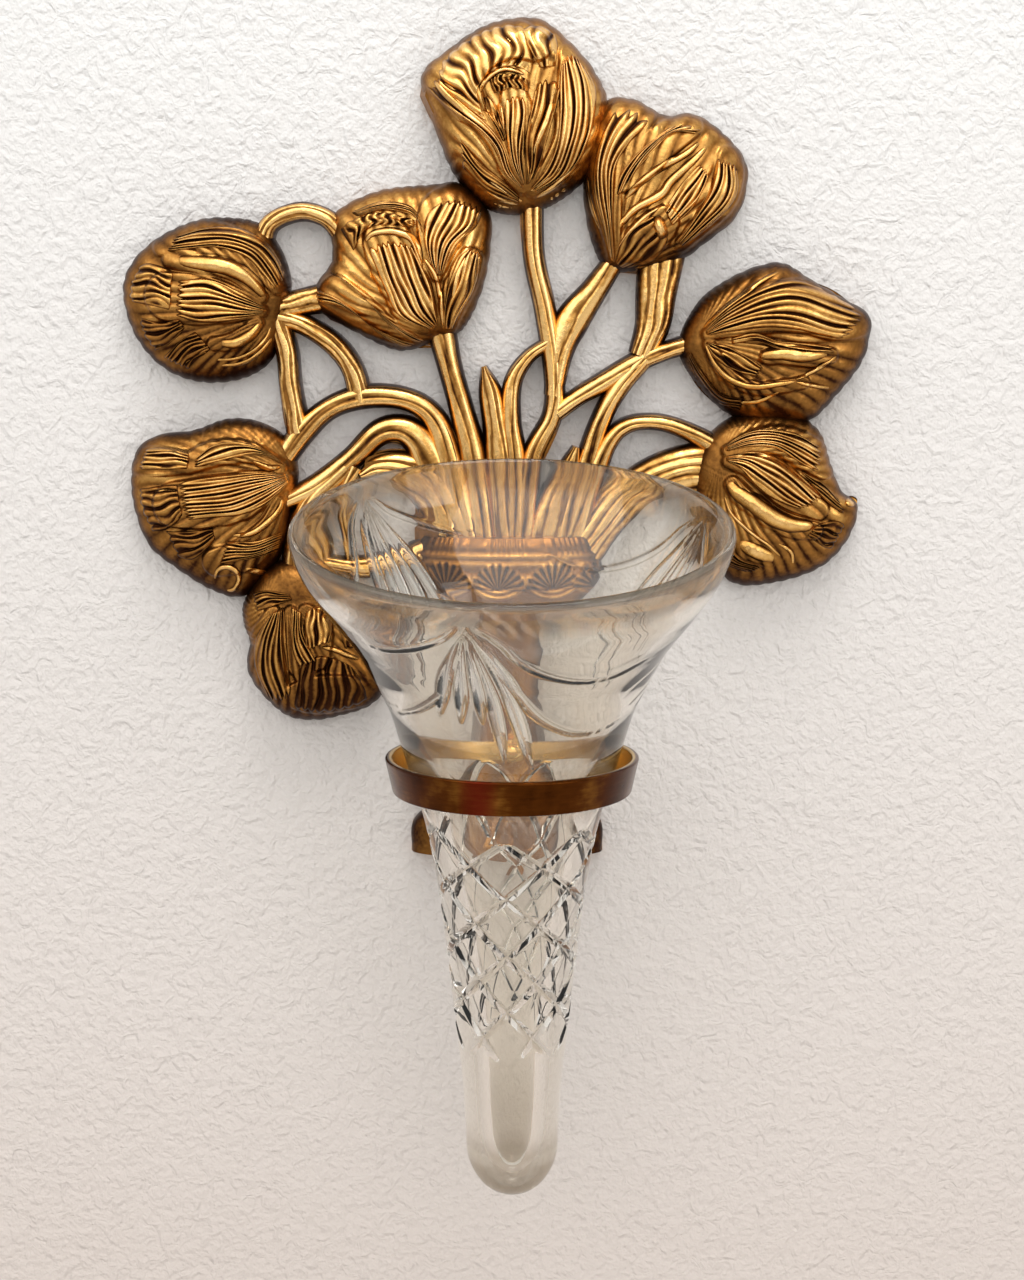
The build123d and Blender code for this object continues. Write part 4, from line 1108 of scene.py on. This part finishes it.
def build_urn():
    bm, cut = new_mesh()
    profile = smooth_line(URN, URN_POINTS)

    def place(u, v):
        row, width, share = along(profile, v).T
        t = 2 * u - 1
        side = np.abs(t) > 1 - URN_SIDE
        s = np.clip(np.abs(t) / (1 - URN_SIDE), 0, 1) * np.sign(t)
        middle = on_ray(URN_COLUMN, row, 0.0)
        half = width / FOCAL * DISTANCE / 2 + URN_OVERHANG * MM
        crown = URN_EDGE + (URN_DEPTH * share - URN_EDGE) * dome(s)
        off = np.where(side, URN_EDGE * (1 - np.abs(t)) / URN_SIDE, crown)
        lip = sum(hump(row, at, half_width) * high for at, half_width, high in LIP_LINES)
        leafy = hump(row, LEAF_ROW, LEAF_HALF) * (0.8 + 0.8 * np.abs(np.sin(s * 34 + 3 * np.sin(s * 9))))
        frieze, shade = shells(URN_COLUMN + s * width / 2, row)
        off = off + np.where(side, 0, lip + leafy + frieze)
        points = np.stack([middle[:, 0] + s * half, -off * MM, middle[:, 2]], axis=-1)
        # darker towards the urn's sides: patina and painted shade where they turn away
        depth = 0.47 + shade - 0.35 * lip / 1.6 - frieze * 0.3 + np.abs(s) ** 4 * 0.4
        return points, np.clip(depth, 0, 1)

    sheet(bm, 200, URN_POINTS - 1, place, cut)
    turn_outwards(bm)
    piece("urn", bm, BRASS, "plaque")


build_urn()

# The glass: it leans out of the ring; stations run up its axis from the plane of the ring's top, in mm
LEAN = math.radians(13.6)
GLASS_FOOT = np.array((0.0, -0.05771, 0.00483))
GLASS_UP = np.array((0.0, -math.sin(LEAN), math.cos(LEAN)))
GLASS_FRONT = np.array((0.0, -math.cos(LEAN), -math.sin(LEAN)))
# (station, radius) up its outside, then over the lip and down its inside
OUTSIDE = (
    (-150.0, 0.0), (-149.2, 4.6), (-146.6, 8.6), (-142.5, 11.7), (-136.0, 14.0), (-125.4, 14.4),
    (-110.0, 15.2), (-98.4, 16.2), (-86.3, 17.4), (-73.7, 18.5), (-65.0, 19.3), (-53.0, 20.6),
    (-43.2, 21.6), (-33.9, 22.9), (-25.0, 24.4), (-16.8, 26.0), (-4.3, 29.3), (8.13, 32.6), (17.8, 35.3),
    (28.6, 40.0), (36.5, 43.8), (42.2, 47.4), (48.8, 52.0), (57.4, 57.6), (64.0, 60.4), (67.5, 61.3),
    (69.2, 61.4), (70.2, 60.8), (70.5, 59.9),
)
INSIDE = (
    (70.4, 59.3), (69.8, 58.7), (68.4, 58.35), (66.0, 57.6), (57.4, 53.4), (48.8, 47.6), (42.2, 42.9),
    (36.5, 39.4), (28.6, 35.3), (17.8, 30.8), (8.13, 27.4), (-4.3, 22.9), (-16.8, 19.1), (-35.0, 15.4),
    (-60.0, 10.9), (-91.0, 7.3), (-117.0, 6.4), (-127.0, 5.9), (-133.5, 4.8), (-138.0, 2.9), (-140.0, 0.0),
)
# The front fan and its swags, in pixels; two more of each stand about a third of a turn away
FAN_APEX = (465, 628)
RAY_ENDS = ((440, 716), (461, 724), (483, 724), (505, 762), (521, 704), (531, 768))
SWAGS = (
    ((478, 630), (500, 644), (522, 664), (550, 677), (582, 682), (612, 677), (645, 660)),
    ((482, 644), (500, 669), (522, 701), (543, 721), (572, 733), (602, 729), (628, 712)),
    ((455, 628), (439, 640), (413, 648), (386, 650), (366, 644)),
    ((460, 650), (443, 691), (419, 709), (398, 713)),
)
FAN_TURNS = (0.0, 122.0, 238.0)
OUTER_LINE = smooth_line(OUTSIDE, 900)
LINING_POINTS = 91
LINING_COLUMNS = 110
# The lattice of diamonds round the tube: where it starts and its rows, in mm, and its turn about the axis
DIAMONDS_AROUND = 7
LATTICE_TOP = -14.5
LATTICE_ROWS = 8
LATTICE_PITCH = 10.1
LATTICE_TURN = math.radians(-4.7)
LATTICE_DEPTH = 1.25
LATTICE_SLOPE = 0.95
STEPS_A_DIAMOND = 15
# how much of the painted edge shade the lattice's cuts take
LATTICE_TINT = 0.045
FOOT_END = -150.0
FOOT_ROWS = 24
# The bowl's sheet: even rows up the wall that carries the cuts, closer ones over the lip, columns round it
BOWL_START = -8.0
LIP_START = 59.8
BOWL_ROWS = 127
LIP_ROWS = 24
BOWL_COLUMNS = 396
CUT_POINTS = 130
FAN_MIDDLE = -0.13


def radius_at(station):
    return np.interp(station, OUTER_LINE[:, 0], OUTER_LINE[:, 1])


def round_glass(angle, station, radius):
    """Points round the glass's axis: an angle of 0 faces the room."""
    return (
        GLASS_FOOT
        + GLASS_UP * (station * MM)[:, None]
        + GLASS_FRONT * (np.cos(angle) * radius * MM)[:, None]
        + np.array((1.0, 0, 0)) * (np.sin(angle) * radius * MM)[:, None]
    )


def on_glass(column, row):
    """Turn about the glass and station where a pixel's sight line first meets its outside."""
    path = EYE + np.linspace(0.6, 1.0, 2000)[:, None] * (on_ray(column, row, 0.0) - EYE)
    out = path - GLASS_FOOT
    station = out @ GLASS_UP
    across = out - station[:, None] * GLASS_UP
    gap = np.linalg.norm(across, axis=1) - radius_at(station / MM) * MM
    hit = np.argmax(gap < 0) if gap.min() < 0 else np.argmin(gap)
    return math.atan2(across[hit, 0], across[hit] @ GLASS_FRONT), station[hit] / MM


def lip_share(station):
    """How much of the glass the eye sees straight through at the lip and at the narrow of the bowl."""
    return 0.4 * rise(station, 59, 6) + 0.25 * np.clip(1 - np.abs(station + 3) / 12, 0, 1)


def wheel_cuts():
    """Every cut of the bowl: turns and stations along it, its half width there and its depth, in mm."""
    cuts = []
    apex = np.array(on_glass(*FAN_APEX))
    share = np.linspace(0, 1, CUT_POINTS)
    for end in RAY_ENDS:
        line = apex + share[:, None] * (np.array(on_glass(*end)) - apex)
        cuts.append((line, 0.25 + 1.75 * np.sin(math.pi * share**1.6) ** 0.9, 1.5))
    for swag in SWAGS:
        line = smooth_line([on_glass(*spot) for spot in smooth_line(swag, 13)], CUT_POINTS)
        cuts.append((line, 0.4 + 1.0 * np.sin(math.pi * share) ** 0.5, 0.8))
    return cuts


def lattice(u, v):
    """The tube with its two sets of cuts, which wind round it and cross."""
    half = math.pi / DIAMONDS_AROUND
    angle = u * TURN
    rows = v * LATTICE_ROWS
    station = LATTICE_TOP - rows * LATTICE_PITCH
    near = []
    for way in (1, -1):
        lead = (angle - LATTICE_TURN) / half + way * (station - LATTICE_TOP) / LATTICE_PITCH
        near.append(np.abs((lead + 1) % 2 - 1) * half * radius_at(station) * 0.7)
    away = np.minimum(*near)
    depth = np.clip(LATTICE_DEPTH - away * LATTICE_SLOPE, 0, LATTICE_DEPTH) * rise(rows, 0, 0.1)
    # in the last row the cuts run out, but for where they cross
    last = (rows > LATTICE_ROWS - 1) & (away > 1e-3)
    depth = np.where(last, depth * fall(rows, LATTICE_ROWS, 1), depth)
    return round_glass(angle, station, radius_at(station) - depth), depth


def foot(u, v):
    """The plain round foot, with painted shade at its tip."""
    start = LATTICE_TOP - LATTICE_ROWS * LATTICE_PITCH
    station = start + (FOOT_END - LATTICE_TOP + LATTICE_ROWS * LATTICE_PITCH) * v**0.8
    return round_glass(u * TURN, station, radius_at(station)), 3.6 * fall(station, -131, 15)


def bowl_sheet():
    """The rows of the bowl, and what places its sheet with every wheel cut in it."""
    wall = np.linspace(BOWL_START, LIP_START, BOWL_ROWS)
    lip = OUTER_LINE[OUTER_LINE[:, 0] >= 60]
    lip = lip[np.linspace(0, len(lip) - 1, LIP_ROWS).astype(int)]
    upper = np.vstack([np.column_stack([wall, radius_at(wall)]), lip])
    cuts = wheel_cuts()

    def place(u, v):
        # the columns stand closer at the three fans
        angle = u * TURN
        angle = angle - 0.15 * np.sin(3 * (angle - FAN_MIDDLE))
        station, radius = along(upper, v).T
        depth = np.zeros_like(u)
        for turn in FAN_TURNS:
            for line, wide, deep in cuts:
                middle = line[:, 0].mean()
                reach = np.abs(line[:, 0] - middle).max() + 0.12
                turned = (angle - middle - math.radians(turn) + math.pi) % TURN - math.pi
                level = (station > line[:, 1].min() - 3) & (station < line[:, 1].max() + 3)
                near = level & (np.abs(turned) < reach)
                aside = (turned[near, None] + middle - line[:, 0]) * radius[near, None]
                gap = np.hypot(aside, (station[near, None] - line[:, 1]) * 1.25)
                share = np.clip(1 - gap / wide, 0, 1) * (wide / wide.max())
                depth[near] = np.maximum(depth[near], deep * share.max(axis=1))
        return round_glass(angle, station, radius - depth), depth - lip_share(station) * (depth == 0)

    return len(upper) - 1, place


def build_glass():
    bm, cut = new_mesh()
    rows, bowl = bowl_sheet()
    inside = smooth_line(INSIDE, LINING_POINTS)

    def lining(u, v):
        station, radius = along(inside, v).T
        # painted shade down the low bore
        low_bore = 0.05 * fall(station, -92, 24)
        return round_glass(u * TURN, station, radius), low_bore - lip_share(station)

    tube_columns = 2 * DIAMONDS_AROUND * STEPS_A_DIAMOND
    sheet(bm, tube_columns, LATTICE_ROWS * STEPS_A_DIAMOND, lattice, cut)
    sheet(bm, tube_columns, FOOT_ROWS, foot, cut)
    bmesh.ops.remove_doubles(bm, verts=bm.verts, dist=2e-6)
    choose_diagonals(bm, cut)
    for vert in bm.verts:
        vert[cut] *= LATTICE_TINT
    sheet(bm, BOWL_COLUMNS, rows, bowl, cut)
    sheet(bm, LINING_COLUMNS, LINING_POINTS - 1, lining, cut)
    bmesh.ops.remove_doubles(bm, verts=bm.verts, dist=2e-6)
    join_rims(bm)
    bmesh.ops.recalc_face_normals(bm, faces=bm.faces)
    glass = piece("glass", bm, GLASS, "glass")
    # only the lattice's edges are sharp
    glass.data.set_sharp_from_angle(angle=math.radians(16))
    stations = [(np.array(v.co) - GLASS_FOOT) @ GLASS_UP for v in glass.data.vertices]
    for edge in glass.data.edges:
        if stations[edge.vertices[0]] > -13 * MM:
            edge.use_edge_sharp = False
    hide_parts("glass_tube")


def choose_diagonals(bm, cut):
    """Splits each quad of the cut tube along its more even diagonal, so that the cuts run straight."""
    kinds = {"FIXED": [], "ALTERNATE": []}
    for face in bm.faces:
        if len(face.verts) == 4:
            a, b, c, d = [v[cut] for v in face.verts]
            kinds["FIXED" if abs(a - c) <= abs(b - d) else "ALTERNATE"].append(face)
    for kind, faces in kinds.items():
        bmesh.ops.triangulate(bm, faces=faces, quad_method=kind)


def join_rims(bm):
    """Bridges the open rims of the glass: tube to bowl, and bowl to lining over the lip."""
    loops = rims(bm)
    loops.sort(key=lambda loop: sum(v.co.z for e in loop for v in e.verts) / len(loop))
    bmesh.ops.bridge_loops(bm, edges=loops[0] + loops[1])
    bmesh.ops.bridge_loops(bm, edges=loops[2] + loops[3])


def rims(bm):
    """The loops of open edges."""
    open_edges = {e for e in bm.edges if e.is_boundary}
    loops = []
    while open_edges:
        start = open_edges.pop()
        loop, queue = [start], list(start.verts)
        while queue:
            vert = queue.pop()
            for edge in vert.link_edges:
                if edge in open_edges:
                    open_edges.discard(edge)
                    loop.append(edge)
                    queue.extend(edge.verts)
        loops.append(loop)
    return loops


build_glass()

# The plaque, the ring and the small parts keep their meshes from the frame and take their finishes
FINISHES = {
    "tulip_plaque": PLAIN_BRASS, "holder_ring": RING_BRASS, "ring_spacer": BRIGHT_BRASS,
    "ring_washer": BRIGHT_BRASS, "ring_screw": BRIGHT_BRASS, "hanger_strap": STEEL,
    "hanger_ring": STEEL, "hanger_screw": STEEL,
}
for node, material in FINISHES.items():
    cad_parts[node].data.materials.clear()
    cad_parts[node].data.materials.append(material)


# Stage, light and camera
def plane(name, corner, material):
    """A flat sheet of the stage, whose corners are corner(u, v)."""
    bm = bmesh.new()
    for vert in bmesh.ops.create_grid(bm, x_segments=1, y_segments=1, size=0.5)["verts"]:
        vert.co = corner(vert.co.x + 0.5, vert.co.y + 0.5)
    obj = mesh_object(name, bm, material)
    return obj


# The wall stands just behind the plaque's back, and the floor below the glass, in metres
STAGE_LEFT, STAGE_WIDTH = -1.6, 3.2
WALL_BEHIND, WALL_FOOT, WALL_HEIGHT = 0.0004, -0.6, 2.2
FLOOR_FRONT, FLOOR_DEPTH, FLOOR_LEVEL = -1.8, 3.2, -0.45


def wall_corner(u, v):
    return STAGE_LEFT + STAGE_WIDTH * u, WALL_BEHIND, WALL_FOOT + WALL_HEIGHT * v


def floor_corner(u, v):
    return STAGE_LEFT + STAGE_WIDTH * u, FLOOR_FRONT + FLOOR_DEPTH * v, FLOOR_LEVEL


wall = plane("wall", wall_corner, plaster())
wall.visible_shadow = False
wall.visible_diffuse = False
plane("floor", floor_corner, plain_floor())

# Each lamp: its place, where it aims, its size in metres and its power in watts
LAMPS = {
    "window": ((-0.4, -1.2, 1.2), (0, 0, 0.08), (3.2, 2.2), 30),
    "fill": ((1.1, -1.1, 0.3), (0, 0, 0.05), (0.7, 0.9), 4),
    "over": ((0.15, -0.5, 1.3), (0, 0, 0.1), (0.7, 0.5), 6),
    "behind": ((0.3, 1.3, 0.7), (0, 0, 0.05), (1.0, 1.0), 14),
}
for name, (place, aim, size, power) in LAMPS.items():
    light = bpy.data.lights.new(name, "AREA")
    light.shape = "RECTANGLE"
    light.size, light.size_y = size
    light.energy = power
    lamp = bpy.data.objects.new(name, light)
    lamp.location = place
    lamp.rotation_euler = (Vector(aim) - Vector(place)).to_track_quat("-Z", "Y").to_euler()
    scene.collection.objects.link(lamp)

# The world lights the object plainly, and shows paler where it is seen
WORLD_LIGHT = 0.3
WORLD_SEEN = 0.5
world = bpy.data.worlds.new("world")
scene.world = world
world.use_nodes = True
tree = world.node_tree
background = tree.nodes["Background"]
path = tree.nodes.new("ShaderNodeLightPath")
camera_ray, glossy_ray, transmission_ray = [
    Value(tree, path.outputs[ray]) for ray in ("Is Camera Ray", "Is Glossy Ray", "Is Transmission Ray")
]
seen = (camera_ray + glossy_ray + transmission_ray).clamped()
feed(tree, background.inputs["Color"], (0.9, 0.88, 0.86))
feed(tree, background.inputs["Strength"], seen * WORLD_SEEN + WORLD_LIGHT)

SENSOR_HEIGHT = 36.0
camera_data = bpy.data.cameras.new("camera")
camera_data.sensor_fit = "VERTICAL"
camera_data.sensor_height = SENSOR_HEIGHT
camera_data.lens = SENSOR_HEIGHT * FOCAL / PICTURE_HEIGHT
camera = bpy.data.objects.new("camera", camera_data)
camera.location = EYE
camera.rotation_euler = (math.radians(90) - DOWN, 0, 0)
scene.collection.objects.link(camera)
scene.camera = camera
scene.view_settings.view_transform = "Standard"
